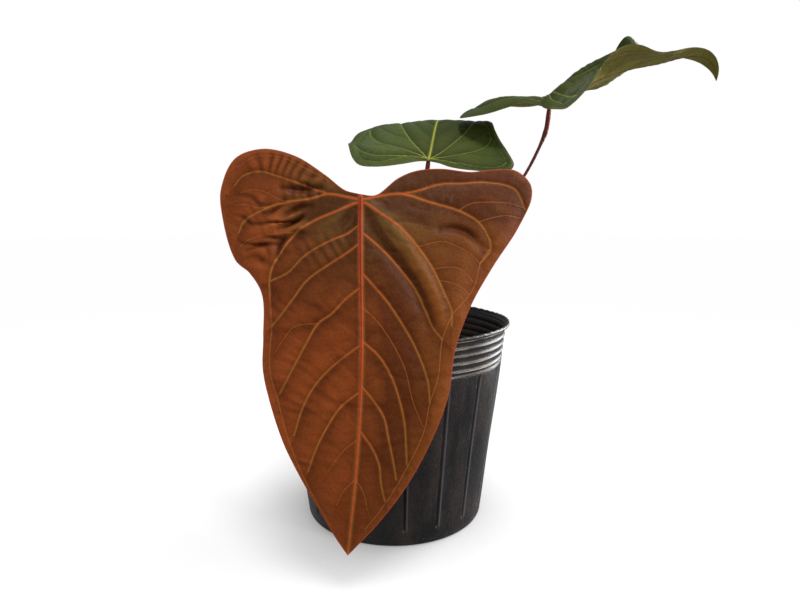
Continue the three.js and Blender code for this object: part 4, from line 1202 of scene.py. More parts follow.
def strew(name, tree, inner, outer, values):
    """A plain mesh of crumbs over the ring of mix between two radii."""
    columns, rings = 72, 14
    rows = []
    for radius in np.linspace(inner, outer, rings):
        row = ring(radius, around(columns), 0)
        row[:, 2] = mix_height(row[:, 0], row[:, 1]) + 0.6
        rows.append(row)
    bed = make_object(name + "_bed", np.vstack(rows), ring_faces(rings, columns, flip=True), [])
    return grown(bed, name, tree, values)


def make_chip(name, chip, number, material):
    """A lump of bark: a rounded block, split into ledges and roughened."""
    distance, angle, length, width, height, spin = chip
    rows, columns = 34, 48
    polar = np.linspace(0, math.pi, rows + 1)[1:-1]
    direction = np.vstack([ring(math.sin(a), around(columns), math.cos(a)) for a in polar]
                          + [[[0, 0, 1], [0, 0, -1]]])
    block = direction / (np.sum(np.abs(direction) ** 3.4, axis=1) ** (1 / 3.4))[:, None]
    points = block * np.array([length, width, height]) * 0.5
    ledge = np.floor((points[:, 2] / height + 0.5) * 5 + 0.4 * waves(points, 9, 40 + number))
    step = np.random.default_rng(60 + number).uniform(-0.09, 0.05, 9)
    points[:, :2] *= (1 + step[np.clip(ledge, 0, 8).astype(int)])[:, None]
    rough = 0.5 * waves(points, 5, 80 + number) + 0.22 * waves(points, 2, 90 + number)
    points += direction * rough[:, None]
    tilt, twist = math.radians(((spin * 7) % 30) - 15), math.radians(spin)
    x_turn = np.array([[1, 0, 0], [0, math.cos(tilt), -math.sin(tilt)],
                       [0, math.sin(tilt), math.cos(tilt)]])
    z_turn = np.array([[math.cos(twist), -math.sin(twist), 0],
                       [math.sin(twist), math.cos(twist), 0], [0, 0, 1]])
    points = points @ (z_turn @ x_turn).T
    x = distance * math.cos(math.radians(angle))
    y = distance * math.sin(math.radians(angle))
    points += np.array([x, y, float(mix_height(x, y)) + height * 0.12])
    count = (rows - 1) * columns
    faces = cap_faces(count, 0, columns) + ring_faces(rows - 1, columns, flip=True)
    faces += cap_faces(count + 1, count - columns, columns, flip=True)
    tone = 0.2 + 0.6 * ((number * 0.37) % 1) + 0.1 * waves(points, 6, 70 + number)
    return make_object(name, points, faces, [material], marks={"tone": tone}, sharp=35)


# ---- nursery pot ------------------------------------------------------------------------

CORNER = 2.2  # radius of the rounded edge round the foot
GROOVE_RADIUS = 72  # where the grooves' widths are measured round the wall
DRAIN_SIDES = 28

def pot_radius(pot, z):
    """Outer radius of the pot's plain wall at a height in millimetres."""
    base, rim = pot.base_radius / MM, pot.rim_radius / MM
    return base + (rim - base) * z / (pot.height / MM)


def pot_plastic(name, look, ground, sheen):
    """Black polythene, blow moulded and reused: satin, with a brown dusty bloom, a painted
    highlight along the ridge crests and beside each groove, mineral specks and faint streaks from
    watering."""
    material, tree = new_material(name)
    place = add(tree, "TexCoord").outputs["Object"]
    crest = add(tree, "Attribute", attribute_name="crest").outputs["Fac"]
    groove = add(tree, "Attribute", attribute_name="groove").outputs["Fac"]
    drawn = add(tree, "Mapping", {"Vector": place, "Scale": (60, 60, 22)})
    cloud = add(tree, "TexNoise", {"Vector": drawn, "Scale": 1.0, "Detail": 8.0, "Roughness": 0.7})
    grain = add(tree, "TexNoise", {
        "Vector": place, "Scale": 650.0, "Detail": 4.0, "Roughness": 0.8})
    grit = add(tree, "Math", {0: grain, 1: 0.7, 2: -0.35}, operation="MULTIPLY_ADD")
    dusty = add(tree, "Math", {0: cloud, 1: grit}, operation="ADD")
    bloom = add(tree, "MapRange", {
        "Value": dusty, "From Min": 0.42, "From Max": 0.72, "To Max": 0.8})
    skin = add(tree, "Mix", {"Factor": bloom, "A": ground, "B": look.dust}, data_type="RGBA")
    drips = add(tree, "Mapping", {"Vector": place, "Scale": (260, 260, 9)})
    streaks = add(tree, "TexNoise", {"Vector": drips, "Scale": 1.0, "Detail": 3.0})
    streak = add(tree, "MapRange", {
        "Value": streaks, "From Min": 0.55, "From Max": 0.8, "To Max": 0.4})
    skin = add(tree, "Mix", {"Factor": streak, "A": skin, "B": look.dust}, data_type="RGBA")
    # Mineral specks 0.3 to 0.6 mm across, one in every few 2.5 mm cells.
    specks = add(tree, "TexVoronoi", {"Vector": place, "Scale": 400.0})
    chance = add(tree, "SeparateColor", {0: specks.outputs["Color"]})
    dot = add(tree, "MapRange", {
        "Value": specks.outputs["Distance"], "From Min": 0.08, "From Max": 0.16, "To Min": 1.0,
        "To Max": 0.0})
    chosen = add(tree, "Math", {0: chance, 1: 0.84}, operation="GREATER_THAN")
    spot = add(tree, "Math", {0: dot, 1: chosen}, operation="MULTIPLY")
    skin = add(tree, "Mix", {"Factor": spot, "A": skin, "B": look.speck}, data_type="RGBA")
    # Painted highlight: broken pale lines along the tops of the ridges, where the crest mark is
    # high.
    highlit = add(tree, "MapRange", {"Value": crest, "From Min": 0.83})
    breaks = add(tree, "TexNoise", {"Vector": place, "Scale": 60.0, "Detail": 3.0})
    glinting = add(tree, "MapRange", {"Value": breaks, "From Min": 0.42, "From Max": 0.62})
    patchy = add(tree, "Math", {0: highlit, 1: glinting}, operation="MULTIPLY")
    skin = add(tree, "Mix", {"Factor": patchy, "A": skin, "B": look.crest}, data_type="RGBA")
    # Painted highlight: a pale line along one side of each groove.
    skin = add(tree, "Mix", {"Factor": groove, "A": skin, "B": look.edge}, data_type="RGBA")
    gloss = add(tree, "MapRange", {
        "Value": dusty, "From Min": 0.3, "From Max": 0.75, "To Min": sheen,
        "To Max": sheen + 0.22})
    gloss = add(tree, "Mix", {"Factor": crest, "A": gloss, "B": 0.34})
    peel = add(tree, "TexNoise", {"Vector": place, "Scale": 700.0, "Detail": 2.0})
    dull = add(tree, "Math", {0: peel, 1: cloud}, operation="ADD")
    close_material(tree, dull, 0.22, {
        "Base Color": skin, "Roughness": gloss, "IOR": 1.5, "Specular IOR Level": 0.5})
    return material


def floor_plate(radius, columns, z, hole, centres, upward):
    """A flat disc with drain holes round the given centres, its rim on the given columns."""
    rim = [(radius * math.cos(a), radius * math.sin(a)) for a in columns]
    points, loops = list(rim), [list(range(len(rim)))]
    for x, y in centres:
        loops.append(list(range(len(points), len(points) + DRAIN_SIDES)))
        points += [(x + hole * math.cos(t), y + hole * math.sin(t)) for t in around(DRAIN_SIDES)]
    flat, _, faces, _, _, _ = delaunay_2d_cdt(points, [], loops, 1, 1e-5)
    flat = np.array([tuple(point) for point in flat])
    kept = []
    for face in faces:
        middle = flat[list(face)].mean(0)
        # A sliver across three corners of a hole has its middle at 0.983 of the radius.
        if min(math.dist(middle, centre) for centre in centres) > hole * 0.99:
            kept.append(tuple(face) if upward else tuple(reversed(face)))
    return np.column_stack([flat, np.full(len(flat), z)]), kept


def make_pot(pot, materials):
    """The pot: a thin tapered wall with grooves, a ridged collar, a rolled lip and a floor."""
    height, wall, floor = pot.height / MM, pot.wall / MM, pot.floor / MM
    pitch, ridges = pot.ridge_pitch / MM, pot.ridges
    collar = height - pot.collar_height / MM
    groove_top = collar - 2
    step = 2 * math.pi / pot.grooves
    centres = [math.radians(pot.groove_angle) + i * step for i in range(pot.grooves)]
    offsets = np.array([-2.6, -2.1, -1.7, -1.3, -0.9, -0.5, 0, 0.5, 0.9, 1.3, 1.7, 2.1, 2.6])
    margin = 3.4 / GROOVE_RADIUS
    column = np.concatenate([offsets / GROOVE_RADIUS, np.linspace(margin, step - margin, 12)])
    angles = np.concatenate([centre + column for centre in centres])
    ring_phase = 0.07 * np.sin(3 * angles + 1) + 0.05 * np.sin(7 * angles)
    groove_share, painted_groove_highlight = np.zeros(len(angles)), np.zeros(len(angles))
    for centre in centres:
        offset = (np.mod(angles - centre + math.pi, 2 * math.pi) - math.pi) * GROOVE_RADIUS
        groove_share = np.maximum(groove_share, np.exp(-(offset / 1.05) ** 2))
        # The band just beside each groove carries a painted highlight.
        painted_groove_highlight = np.maximum(painted_groove_highlight, np.exp(-((offset - 1.7) / 0.5) ** 2))

    def skin(z):
        """Outer radius at each angle of one height, with its crest mark and the mark for the
        painted highlight beside the grooves.
        """
        plain = pot_radius(pot, z) * np.ones(len(angles))
        fade = min(max(z / 30, 0), 1) * min(max((height - z) / 12, 0.35), 1)
        dents = waves(ring(plain, angles, z) * (1, 1, 0.3), 16, 31)
        plain += fade * (pot.dent / MM) * dents
        turns = (z - collar) / pitch + ring_phase * 0.5
        crest = np.where((turns > 0) & (turns < ridges),
                         (0.5 - 0.5 * np.cos(2 * math.pi * turns)) ** 2.6, 0.0)
        in_collar = np.clip((z - collar + 1) / 2, 0, 1) * np.clip((height - 2 - z) / 1.5, 0, 1)
        plain -= in_collar * (pot.ridge_depth / MM) * (1 - crest)
        ends = np.clip((z - 10) / 2.5, 0, 1) * np.clip((groove_top - z) / 2.5, 0, 1)
        plain -= ends * (pot.groove_depth / MM) * groove_share
        plain -= 0.3 * math.exp(-((z - 3.6) / 0.5) ** 2)  # the fine line above the foot
        return plain, crest * in_collar, 0.55 * painted_groove_highlight * ends

    heights = [0, 0.15, 0.5, 1.0, 1.6, 2.2, 2.8, 3.3, 3.7, 4.2, 6, 8, 10, 10.8, 11.6, 12.5]
    heights += list(np.arange(18, groove_top - 5, 6))
    heights += [groove_top - 2.5, groove_top - 1.6, groove_top - 0.8, groove_top, collar - 1]
    heights += list(np.arange(collar, height - 2.4, pitch / 12))
    rows, crests, grooves = [], [], []

    def put(radius, z, crest, groove):
        """Adds one row of points with its marks."""
        rows.append(ring(radius, angles, z))
        crests.append(crest * np.ones(len(angles)))
        grooves.append(groove * np.ones(len(angles)))

    foot = pot_radius(pot, 0) - CORNER
    put(foot, 0, *skin(0)[1:])
    for z in heights[1:]:
        radius, crest, groove = skin(z)
        inset = CORNER * (1 - math.sqrt(1 - (1 - z / CORNER) ** 2)) if z < CORNER else 0.0
        put(radius - inset, z, crest, groove)
    bead = pot.lip / MM * 0.6
    scallop = 0.2 * np.sin(67 * angles + 2 * np.sin(3 * angles)) + 0.2 * np.sin(9 * angles + 1)
    for a in np.radians(np.linspace(-70, 205, 13)):
        radius = pot_radius(pot, height) + pot.lip / MM - bead + bead * math.cos(a)
        rise = height - 0.37 - bead + bead * math.sin(a) + scallop * (0.5 + 0.5 * math.sin(a))
        # The upper half of the lip gets a crest mark of 0.84: a faint painted highlight and more
        # gloss.
        put(radius + 0.15 * scallop, rise, 0.84 if a > 0.6 else 0.3, 0.0)
    outside_rows = len(rows)
    for z in heights[::-1]:
        if CORNER <= z <= height - 3:
            radius, crest, _ = skin(z)
            put(radius - wall, max(z, CORNER + 0.8), crest * 0.5, 0.0)
    put(foot - wall, floor, 0.0, 0.0)

    count = len(angles)
    faces = ring_faces(len(rows), count)
    slots = [0 if i < (outside_rows - 2) * count else 1 for i in range(len(faces))]
    hole, circle = pot.drain_radius / MM, pot.drain_circle / MM
    drains = [(circle * math.cos(a), circle * math.sin(a))
              for a in around(pot.drain_holes) + math.pi / pot.drain_holes]
    parts = [np.vstack(rows)]
    total = len(parts[0])
    for radius, z, upward in ((foot, 0.0, False), (foot - wall, floor, True)):
        plate, kept = floor_plate(radius, angles, z, hole, drains, upward)
        parts.append(plate)
        faces += [tuple(total + i for i in face) for face in kept]
        slots += [1 if upward else 0] * len(kept)
        total += len(plate)
    for x, y in drains:
        for z in (floor, 0):
            parts.append(ring(hole, around(DRAIN_SIDES), z) + (x, y, 0))
        faces += [tuple(total + i for i in face) for face in ring_faces(2, DRAIN_SIDES)]
        slots += [0] * DRAIN_SIDES
        total += 2 * DRAIN_SIDES
    rest = np.zeros(total - len(rows) * count)
    marks = {"crest": np.concatenate([*crests, rest]), "groove": np.concatenate([*grooves, rest])}
    piece = make_object("nursery_pot_wall", np.vstack(parts), faces, materials, marks=marks,
                        slots=slots, sharp=50)
    weld(piece)
    return piece


def weld(piece):
    """Joins the vertices of a mesh that lie on each other."""
    modifier = piece.modifiers.new("weld", "WELD")
    modifier.merge_threshold = 0.00002
    graph = bpy.context.evaluated_depsgraph_get()
    mesh = bpy.data.meshes.new_from_object(piece.evaluated_get(graph),
                                           preserve_all_data_layers=True, depsgraph=graph)
    piece.modifiers.clear()
    old = piece.data
    piece.data = mesh
    mesh.name = old.name
    bpy.data.meshes.remove(old)


# ---- settings ---------------------------------------------------------------------------

def colour(name, description, code):
    """A colour setting, from its sRGB hex value."""
    return bpy.props.FloatVectorProperty(name=name, description=description, subtype="COLOR",
                                         size=3, min=0, max=1, default=srgb(code))


def distance(name, description, millimetres):
    """A length setting, given in millimetres and kept in metres."""
    return bpy.props.FloatProperty(name=name, description=description, unit="LENGTH", min=0,
                                   precision=4, default=millimetres * MM)


class BladeSizes(bpy.types.PropertyGroup):
    thickness: distance("Thickness", "Thickness of a leaf blade between its veins", 0.6)
    spacing: distance("Spacing", "Spacing of the points that make a blade's surface", 0.95)
    puff: distance("Quilting", "How far the panels stand up between the veins", 2.1)
    pleat: distance("Pleats", "Height of the small pleats beside the veins", 0.3)
    ripple: distance("Ripple", "How far the margin waves", 0.5)


class BronzeLeaf(bpy.types.PropertyGroup):
    blade: colour("Blade", "Main colour of the young leaf", "#9a4c1e")
    blade_warm: colour("Warm patches", "Redder patches of the young leaf", "#aa5426")
    blade_far: colour("Golden side", "Golden side of the young leaf", "#80481a")
    olive: colour("Olive", "Colour by the petiole joint", "#66552c")
    band: colour("Margin band", "Paler band inside the margin", "#a0522a")
    # Painted shade: the folds take this colour, and the random mottling too.
    fold_shade_and_mottle: colour("Folds", "Colour down in the folds", "#431a08")
    # Painted highlight along the tops of the ridges.
    crest: colour("Ridges", "Colour along the tops of the ridges", "#a8705a")
    seam: colour("Seams", "Colour beside the veins", "#8c5e24")
    vein: colour("Veins", "Colour of the veins where they start", "#b85029")
    vein_end: colour("Vein ends", "Colour of the veins towards the margin", "#ba6c34")
    midrib: colour("Midrib", "Colour down the middle of the midrib", "#8a2a24")
    margin: colour("Margin", "Colour of the thin edge", "#a8472a")
    under: colour("Underside", "Colour underneath", "#7b5038")
    under_warm: colour("Underside patches", "Patches underneath", "#86603f")
    under_vein: colour("Ribs", "Colour of the ribs underneath", "#9a4a34")


class GreenLeaf(bpy.types.PropertyGroup):
    blade: colour("Blade", "Main colour of the grown leaf", "#2d3919")
    blade_warm: colour("Warm patches", "Lighter patches of the grown leaf", "#3f4a22")
    blade_far: colour("Paler side", "Paler side of the grown leaf", "#4c5a32")
    olive: colour("Olive", "Colour by the petiole joint", "#535a26")
    band: colour("Margin band", "Darker band inside the margin", "#27321a")
    # Painted shade: the folds take this colour, and the random mottling too.
    fold_shade_and_mottle: colour("Folds", "Colour down in the folds", "#1e2a14")
    # Painted highlight along the tops of the ridges.
    crest: colour("Ridges", "Colour along the tops of the ridges", "#667040")
    seam: colour("Seams", "Colour beside the veins", "#626e2c")
    vein: colour("Veins", "Colour of the veins where they start", "#9a9c3c")
    vein_end: colour("Vein ends", "Colour of the veins towards the margin", "#6c7630")
    midrib: colour("Midrib", "Colour down the middle of the midrib", "#a09a44")
    margin: colour("Margin", "Colour of the thin edge", "#5d5a30")
    under: colour("Underside", "Colour underneath", "#8c8a30")
    under_warm: colour("Underside patches", "Patches underneath", "#b4ac4e")
    under_vein: colour("Ribs", "Colour of the ribs underneath", "#8a5a42")


class PetioleSettings(bpy.types.PropertyGroup):
    foot_radius: distance("Foot radius", "Radius where the petiole leaves the stem", 2.7)
    shaft_radius: distance("Shaft radius", "Radius of the slim shaft", 1.15)
    swelling_radius: distance("Swelling radius", "Radius of the swelling under the blade", 1.75)
    relief: distance("Relief", "Height of the soft lumps along a petiole", 0.25)
    shaft: colour("Shaft", "Main colour of the shaft", "#561a12")
    streak: colour("Streaks", "Lengthwise streaks", "#702a1a")
    swelling: colour("Swelling", "Colour of the swelling", "#7e1c14")
    pore: colour("Pores", "Colour of the pale pores", "#9a6444")


class StemSettings(bpy.types.PropertyGroup):
    ring_pitch: distance("Ring pitch", "Spacing of the leaf scars", 6.5)
    root_relief: distance("Root relief", "Height of the lumps along a root", 0.8)
    green: colour("Green", "Skin between the cork", "#5b5a35")
    cork: colour("Cork", "Grey-brown cork", "#6e5a42")
    scar: colour("Scars", "Colour in the scar rings", "#3c2c1e")
    felt: colour("Root felt", "Pale skin of the roots", "#b9a37e")
    blotch: colour("Root blotches", "Brown blotches of the roots", "#7d6142")


class BractSettings(bpy.types.PropertyGroup):
    thickness: distance("Thickness", "Thickness of a dry bract", 0.35)
    outer: colour("Outside", "Colour outside", "#9b7b52")
    inner: colour("Inside", "Colour inside", "#b59a6c")
    fibre: colour("Fibres", "Colour of the fibres", "#6d4c2e")
    edge: colour("Edge", "Colour of the torn edge", "#4a321f")


class MixSettings(bpy.types.PropertyGroup):
    clearance: distance("Clearance", "Gap between the mix and the pot", 1.6)
    crumb_small: distance("Smallest crumb", "Length of the smallest crumb", 2.2)
    crumb_large: distance("Largest crumb", "Length of the largest crumb", 7.0)
    light: colour("Light bark", "Light bark", "#8a6444")
    dark: colour("Dark bark", "Dark bark", "#2c1d13")
    pumice: colour("Pumice", "Light pumice", "#d6cfc0")
    pumice_dark: colour("Pumice shade", "Dark pumice", "#9c9484")


class PotSettings(bpy.types.PropertyGroup):
    height: distance("Height", "Height over the lip", POT_HIGH.z / MM)
    rim_radius: distance("Rim radius", "Wall radius at the rim", 80.6)
    base_radius: distance("Base radius", "Wall radius at the base", 63.6)
    wall: distance("Wall", "Thickness of the wall", 0.9)
    floor: distance("Floor", "Thickness of the floor", 1.2)
    lip: distance("Lip", "How far the rolled lip stands out", 1.9)
    collar_height: distance("Collar", "Height of the ridged collar", 26.3)
    ridge_pitch: distance("Ridge pitch", "Spacing of the ridges", 5)
    ridge_depth: distance("Ridge depth", "Depth between the ridges", 0.8)
    groove_depth: distance("Groove depth", "Depth of the upright grooves", 1.5)
    dent: distance("Dents", "How far the soft wall is dented", 0.55)
    drain_radius: distance("Drain radius", "Radius of a drain hole", 4.5)
    drain_circle: distance("Drain circle", "Radius of the ring of drain holes", 45)
    ridges: bpy.props.IntProperty(name="Ridges", description="Ridges in the collar", default=5)
    grooves: bpy.props.IntProperty(name="Grooves", description="Upright grooves", default=18)
    drain_holes: bpy.props.IntProperty(name="Drain holes", description="Drain holes", default=8)
    groove_angle: bpy.props.FloatProperty(name="Groove angle", default=-84,
                                          description="Angle of the first groove, in degrees")
    black: colour("Black", "Colour of the plastic", "#09090d")
    inside: colour("Inside", "Colour of the plastic inside", "#080a12")
    dust: colour("Dust", "Colour of the dusty bloom", "#372b24")
    speck: colour("Specks", "Colour of the mineral specks", "#6a4f38")
    # Painted highlight: this colour paints the tops of the collar's ridges and of the lip.
    crest: colour("Worn crests", "Colour of the worn ridge crests", "#c9b79c")
    # Painted highlight: this colour paints a line beside each groove.
    edge: colour("Groove edges", "Colour of the rubbed edges of the grooves", "#77757c")


class StageSettings(bpy.types.PropertyGroup):
    ground: colour("Ground", "Colour of the floor and backdrop", "#ffffff")
    radius: distance("Radius", "Radius of the floor and the backdrop", 6000)
    key: bpy.props.FloatProperty(name="Key", description="Strength of the key light", default=2.1)
    side: bpy.props.FloatProperty(name="Side", description="Strength of the side light",
                                  default=1.7)
    rim: bpy.props.FloatProperty(name="Rim", description="Strength of the light from behind",
                                 default=5.0)
    fill: bpy.props.FloatProperty(name="Fill", description="Strength of the fill light",
                                  default=0.2)
    sky: bpy.props.FloatProperty(name="Sky", description="Strength of the even light",
                                 default=0.25)
    backdrop: bpy.props.FloatProperty(name="Backdrop", description="Brightness of the backdrop",
                                      default=1.0)
    bounce: bpy.props.BoolProperty(name="Bounce", default=False,
                                   description="Whether the floor throws light on the plant")


SETTINGS = (
    ("blades", BladeSizes), ("bronze", BronzeLeaf), ("green", GreenLeaf),
    ("petioles", PetioleSettings), ("stem", StemSettings), ("bracts", BractSettings),
    ("mix", MixSettings), ("pot", PotSettings), ("stage", StageSettings),
)


def settings(context, name):
    """The settings group of one kind of piece."""
    return getattr(context.scene, "anthurium_" + name)


# ---- operators --------------------------------------------------------------------------

class ANTHURIUM_OT_stage(bpy.types.Operator):
    """Set the pale floor, the soft lights and the camera"""
    bl_idname = "anthurium.stage"
    bl_label = "Stage"

    def execute(self, context):
        look = settings(context, "stage")
        material, tree = new_material("matt_paper_backdrop")
        place = add(tree, "TexCoord").outputs["Object"]
        grain = add(tree, "TexNoise", {"Vector": place, "Scale": 400.0})
        paper = add(tree, "BsdfDiffuse", {"Color": look.ground})
        far = add(tree, "VectorMath", {0: place}, operation="LENGTH")
        reach = add(tree, "MapRange", {
            "Value": far.outputs["Value"], "From Min": 0.12, "From Max": 1.1, "To Min": 0.68,
            "To Max": 1.0}, interpolation_type="SMOOTHSTEP")
        shade = add(tree, "MapRange", {"Value": grain, "To Min": 0.985})
        # A painted shadow: the paper's glow is dimmed within 90 mm of the plant and the pot.
        near = add(tree, "AmbientOcclusion", {"Distance": 90 * MM})
        painted_contact_shadow = add(tree, "MapRange", {
            "Value": near.outputs["AO"], "From Min": 0.3, "From Max": 0.98, "To Min": 0.42,
            "To Max": look.backdrop}, interpolation_type="SMOOTHSTEP")
        lit = add(tree, "Math", {0: shade, 1: painted_contact_shadow}, operation="MULTIPLY")
        glow = add(tree, "Emission", {"Color": look.ground, "Strength": lit})
        sweep = add(tree, "MixShader", {0: reach, 1: paper, 2: glow})
        add(tree, "OutputMaterial", {"Surface": sweep})
        radius = look.radius / MM
        flat = [(share * radius, 0.0) for share in (0.02, 0.1, 0.3, 0.6, 1)]
        floor = bowl("studio_floor", flat, material)
        floor.visible_glossy = False
        floor.visible_diffuse = look.bounce
        paper, tree = new_material("lit_paper_backdrop")
        glow = add(tree, "Emission", {"Color": look.ground, "Strength": look.backdrop})
        add(tree, "OutputMaterial", {"Surface": glow})
        round_wall = [(radius * math.cos(a), radius * math.sin(a))
                      for a in np.linspace(math.pi / 2 - 0.01, 0, 24)]
        backdrop = bowl("studio_backdrop", round_wall, paper)
        for ray in ("diffuse", "glossy", "transmission", "volume_scatter", "shadow"):
            setattr(backdrop, "visible_" + ray, False)

        world = bpy.data.worlds.new("soft_sky")
        context.scene.world = world
        world.use_nodes = True
        world.node_tree.nodes["Background"].inputs["Color"].default_value = (1, 1, 1, 1)
        world.node_tree.nodes["Background"].inputs["Strength"].default_value = look.sky

        for name, place, spread, strength in (
            ("key_light", (0.2, -0.6, 1.3), 20, look.key),
            ("side_light", (0.88, -0.47, 0.3), 14, look.side),
            ("rim_light", (0.85, 0.5, 0.25), 50, look.rim),
            ("fill_light", (-1.0, -0.8, 0.5), 60, look.fill),
        ):
            lamp = bpy.data.lights.new(name, "SUN")
            lamp.angle = math.radians(spread)
            lamp.energy = strength
            light = bpy.data.objects.new(name, lamp)
            context.scene.collection.objects.link(light)
            light.location = place
            light.rotation_euler = light.location.to_track_quat("Z", "Y").to_euler()

        lens = bpy.data.cameras.new("view")
        lens.lens = 27
        lens.sensor_width = 36
        camera = bpy.data.objects.new("view", lens)
        camera.location = (0.0041, -0.429, 0.217)
        camera.rotation_euler = (math.radians(90 - 8.3), 0, 0)
        context.scene.collection.objects.link(camera)
        context.scene.camera = camera
        context.scene.view_settings.view_transform = "Standard"
        return {"FINISHED"}


def bowl(name, profile, material):
    """A surface of revolution from (radius, height) rings, closed at the middle."""
    columns = 96
    rows = [ring(r, around(columns), z) for r, z in profile]
    vertices = np.vstack(rows + [[[0, 0, profile[0][1]]]])
    faces = cap_faces(len(vertices) - 1, 0, columns) + ring_faces(len(rows), columns, flip=True)
    return make_object(name, vertices, faces, [material], sharp=80)


class ANTHURIUM_OT_pot(bpy.types.Operator):
    """Make the nursery pot"""
    bl_idname = "anthurium.pot"
    bl_label = "Nursery pot"

    def execute(self, context):
        look = settings(context, "pot")
        outside = pot_plastic("black_polythene_blow_moulded", look, look.black, 0.3)
        inside = pot_plastic("black_polythene_inside", look, look.inside, 0.42)
        piece = make_pot(look, [outside, inside])
        declare(piece, "pot_plastic", "nursery_pot")
        return {"FINISHED"}


class ANTHURIUM_OT_mix(bpy.types.Operator):
    """Make the bed of potting mix, its crumbs and its bark pieces"""
    bl_idname = "anthurium.mix"
    bl_label = "Potting mix"

    def execute(self, context):
        look, pot = settings(context, "mix"), settings(context, "pot")
        bark = bark_material("pine_bark_milled", look.light, look.dark, 900.0)
        pumice = bark_material("pumice_crushed", look.pumice, look.pumice_dark, 1400.0)
        bed = make_mix(pot, look, bark)
        declare(bed, "bark_mix", "potting_mix")
        tree = crumb_tree()
        outer = pot_radius(pot, MIX_TOP) - 8
        crumbs = strew("bark_crumbs", tree, 9, outer, {
            "Density": 95000.0, "Smallest": look.crumb_small, "Largest": look.crumb_large,
            "Slimness": 0.62, "Seed": 3, "Material": bark})
        declare(crumbs, "bark_mix")
        grains = strew("pumice_grains", tree, 11, outer, {
            "Density": 9000.0, "Smallest": look.crumb_small, "Largest": look.crumb_large * 0.8,
            "Slimness": 0.8, "Seed": 8, "Material": pumice})
        declare(grains, "bark_mix")
        for number, chip in enumerate(CHIPS, start=1):
            piece = make_chip(f"bark_piece_{number}", chip, number, bark)
            declare(piece, "bark", f"bark_chip_{number}")
        return {"FINISHED"}


class ANTHURIUM_OT_stem(bpy.types.Operator):
    """Make the ringed stem and its roots"""
    bl_idname = "anthurium.stem"
    bl_label = "Stem and roots"

    def execute(self, context):
        look = settings(context, "stem")
        declare(make_stem(look, stem_skin(look)), "stem_skin", "stem")
        skin, tree = root_skin(look), stalk_tree()
        for number, root in enumerate(ROOTS, start=1):
            piece = make_root(f"aerial_root_{number}", root, look, tree, skin)
            declare(piece, "root_skin", f"root_{number}")
        return {"FINISHED"}


class ANTHURIUM_OT_bracts(bpy.types.Operator):
    """Make the dry bracts round the top of the stem"""
    bl_idname = "anthurium.bracts"
    bl_label = "Bracts"

    def execute(self, context):
        look = settings(context, "bracts")
        skins = [bract_paper("dry_bract_inside", look.inner, look),
                 bract_paper("dry_bract_outside", look.outer, look)]
        for number, bract in enumerate(BRACTS, start=1):
            piece = make_bract(f"dry_bract_{number}", bract, look, skins)
            declare(piece, "bract_paper", f"bract_{number}")
        return {"FINISHED"}


class ANTHURIUM_OT_petioles(bpy.types.Operator):
    """Make the three petioles"""
    bl_idname = "anthurium.petioles"
    bl_label = "Petioles"

    def execute(self, context):
        look = settings(context, "petioles")
        skin, tree = petiole_skin(look), stalk_tree()
        for place, leaf in LEAVES.items():
            piece = make_petiole(f"{place}_petiole", leaf, look, tree, skin)
            declare(piece, "petiole_skin", f"petiole_{place}")
        return {"FINISHED"}


def blade_style(sizes, **changes):
    """The measures of a blade in millimetres, with what is its own."""
    style = {
        "thickness": sizes.thickness / MM, "spacing": sizes.spacing / MM, "puff": sizes.puff / MM,
        "pleat": sizes.pleat / MM, "ripple": sizes.ripple / MM, "notch": 2.5, "vein_scale": 1.0,
        "pleat_pitch": 5.5, "steep": 1.8, "gentle": 8.0, "folds": [], "combs": [],
        "crumples": [],
    }
    style.update(changes)
    return style


class ANTHURIUM_OT_front_leaf(bpy.types.Operator):
    """Make the young bronze leaf at the front"""
    bl_idname = "anthurium.front_leaf"
    bl_label = "Bronze leaf"

    def execute(self, context):
        look, leaf = settings(context, "bronze"), LEAVES["front"]
        veins = [("midrib", [(0, -1), (0, 60), (0, 130), (0, leaf["length"] - 1)])]
        veins += side_veins(FRONT_NEAR_VEINS, FRONT_FAR_VEINS)
        style = blade_style(settings(context, "blades"), folds=FRONT_FOLDS, combs=FRONT_COMBS,
                            crumples=FRONT_CRUMPLES)
        skins = [leaf_upper("young_leaf_satin_upper", look), leaf_under("young_leaf_under", look)]
        piece = make_blade("front_leaf_blade", leaf, veins, style, skins)
        declare(piece, "leaf_bronze", "blade_front")
        return {"FINISHED"}


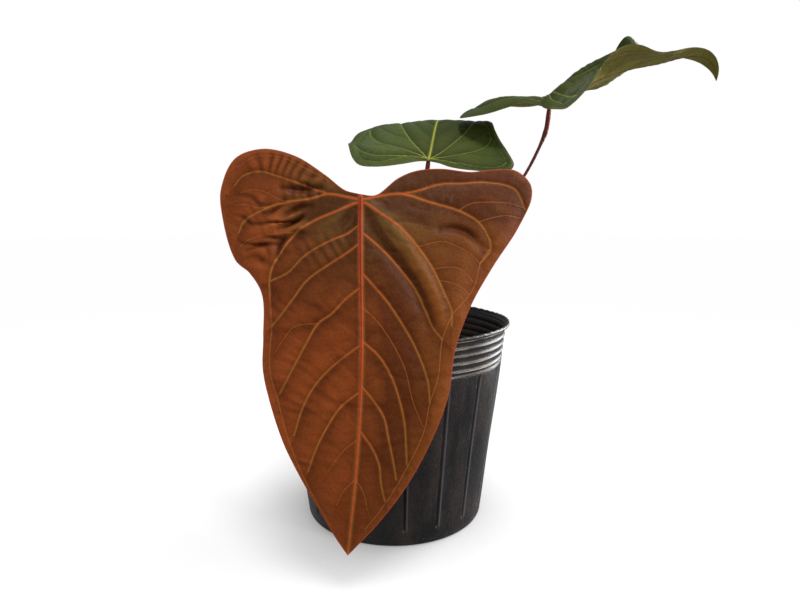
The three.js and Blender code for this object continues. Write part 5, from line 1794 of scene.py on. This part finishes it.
class ANTHURIUM_OT_green_leaves(bpy.types.Operator):
    """Make the two grown green leaves"""
    bl_idname = "anthurium.green_leaves"
    bl_label = "Green leaves"

    def execute(self, context):
        look = settings(context, "green")
        skins = [leaf_upper("grown_leaf_satin_upper", look), leaf_under("grown_leaf_under", look)]
        for place in ("back", "right"):
            leaf = LEAVES[place]
            length = leaf["length"]
            veins = [("midrib", [(0, -1), (0, 0.3 * length), (0, 0.7 * length), (0, length - 1)])]
            veins += ruled_veins(leaf)
            style = blade_style(settings(context, "blades"), vein_scale=0.66, puff=1.3,
                                spacing=0.8)
            piece = make_blade(f"{place}_leaf_blade", leaf, veins, style, skins)
            declare(piece, "leaf_green", f"blade_{place}")
        return {"FINISHED"}


OPERATORS = (
    ANTHURIUM_OT_stage, ANTHURIUM_OT_pot, ANTHURIUM_OT_mix, ANTHURIUM_OT_stem,
    ANTHURIUM_OT_bracts, ANTHURIUM_OT_petioles, ANTHURIUM_OT_front_leaf,
    ANTHURIUM_OT_green_leaves,
)


class ANTHURIUM_PT_panel(bpy.types.Panel):
    """The plant's operators and settings"""
    bl_idname = "ANTHURIUM_PT_panel"
    bl_label = "Potted anthurium"
    bl_space_type = "VIEW_3D"
    bl_region_type = "UI"
    bl_category = "Anthurium"

    def draw(self, context):
        for operator in OPERATORS:
            self.layout.operator(operator.bl_idname)
        for name, group in SETTINGS:
            box = self.layout.box()
            box.label(text=name.capitalize())
            for key in group.__annotations__:
                box.prop(settings(context, name), key)


CLASSES = (*(group for _, group in SETTINGS), *OPERATORS, ANTHURIUM_PT_panel)


def register():
    """Makes the settings, the operators and the panel known to Blender."""
    for cls in CLASSES:
        bpy.utils.register_class(cls)
    for name, group in SETTINGS:
        pointer = bpy.props.PointerProperty(type=group)
        setattr(bpy.types.Scene, "anthurium_" + name, pointer)


def unregister():
    """Takes away what register added."""
    for name, _ in SETTINGS:
        delattr(bpy.types.Scene, "anthurium_" + name)
    for cls in reversed(CLASSES):
        bpy.utils.unregister_class(cls)


def main():
    """Builds every piece in order."""
    register()
    for operator in OPERATORS:
        name = operator.bl_idname.split(".")[1]
        getattr(bpy.ops.anthurium, name)()


if __name__ == "__main__":
    main()
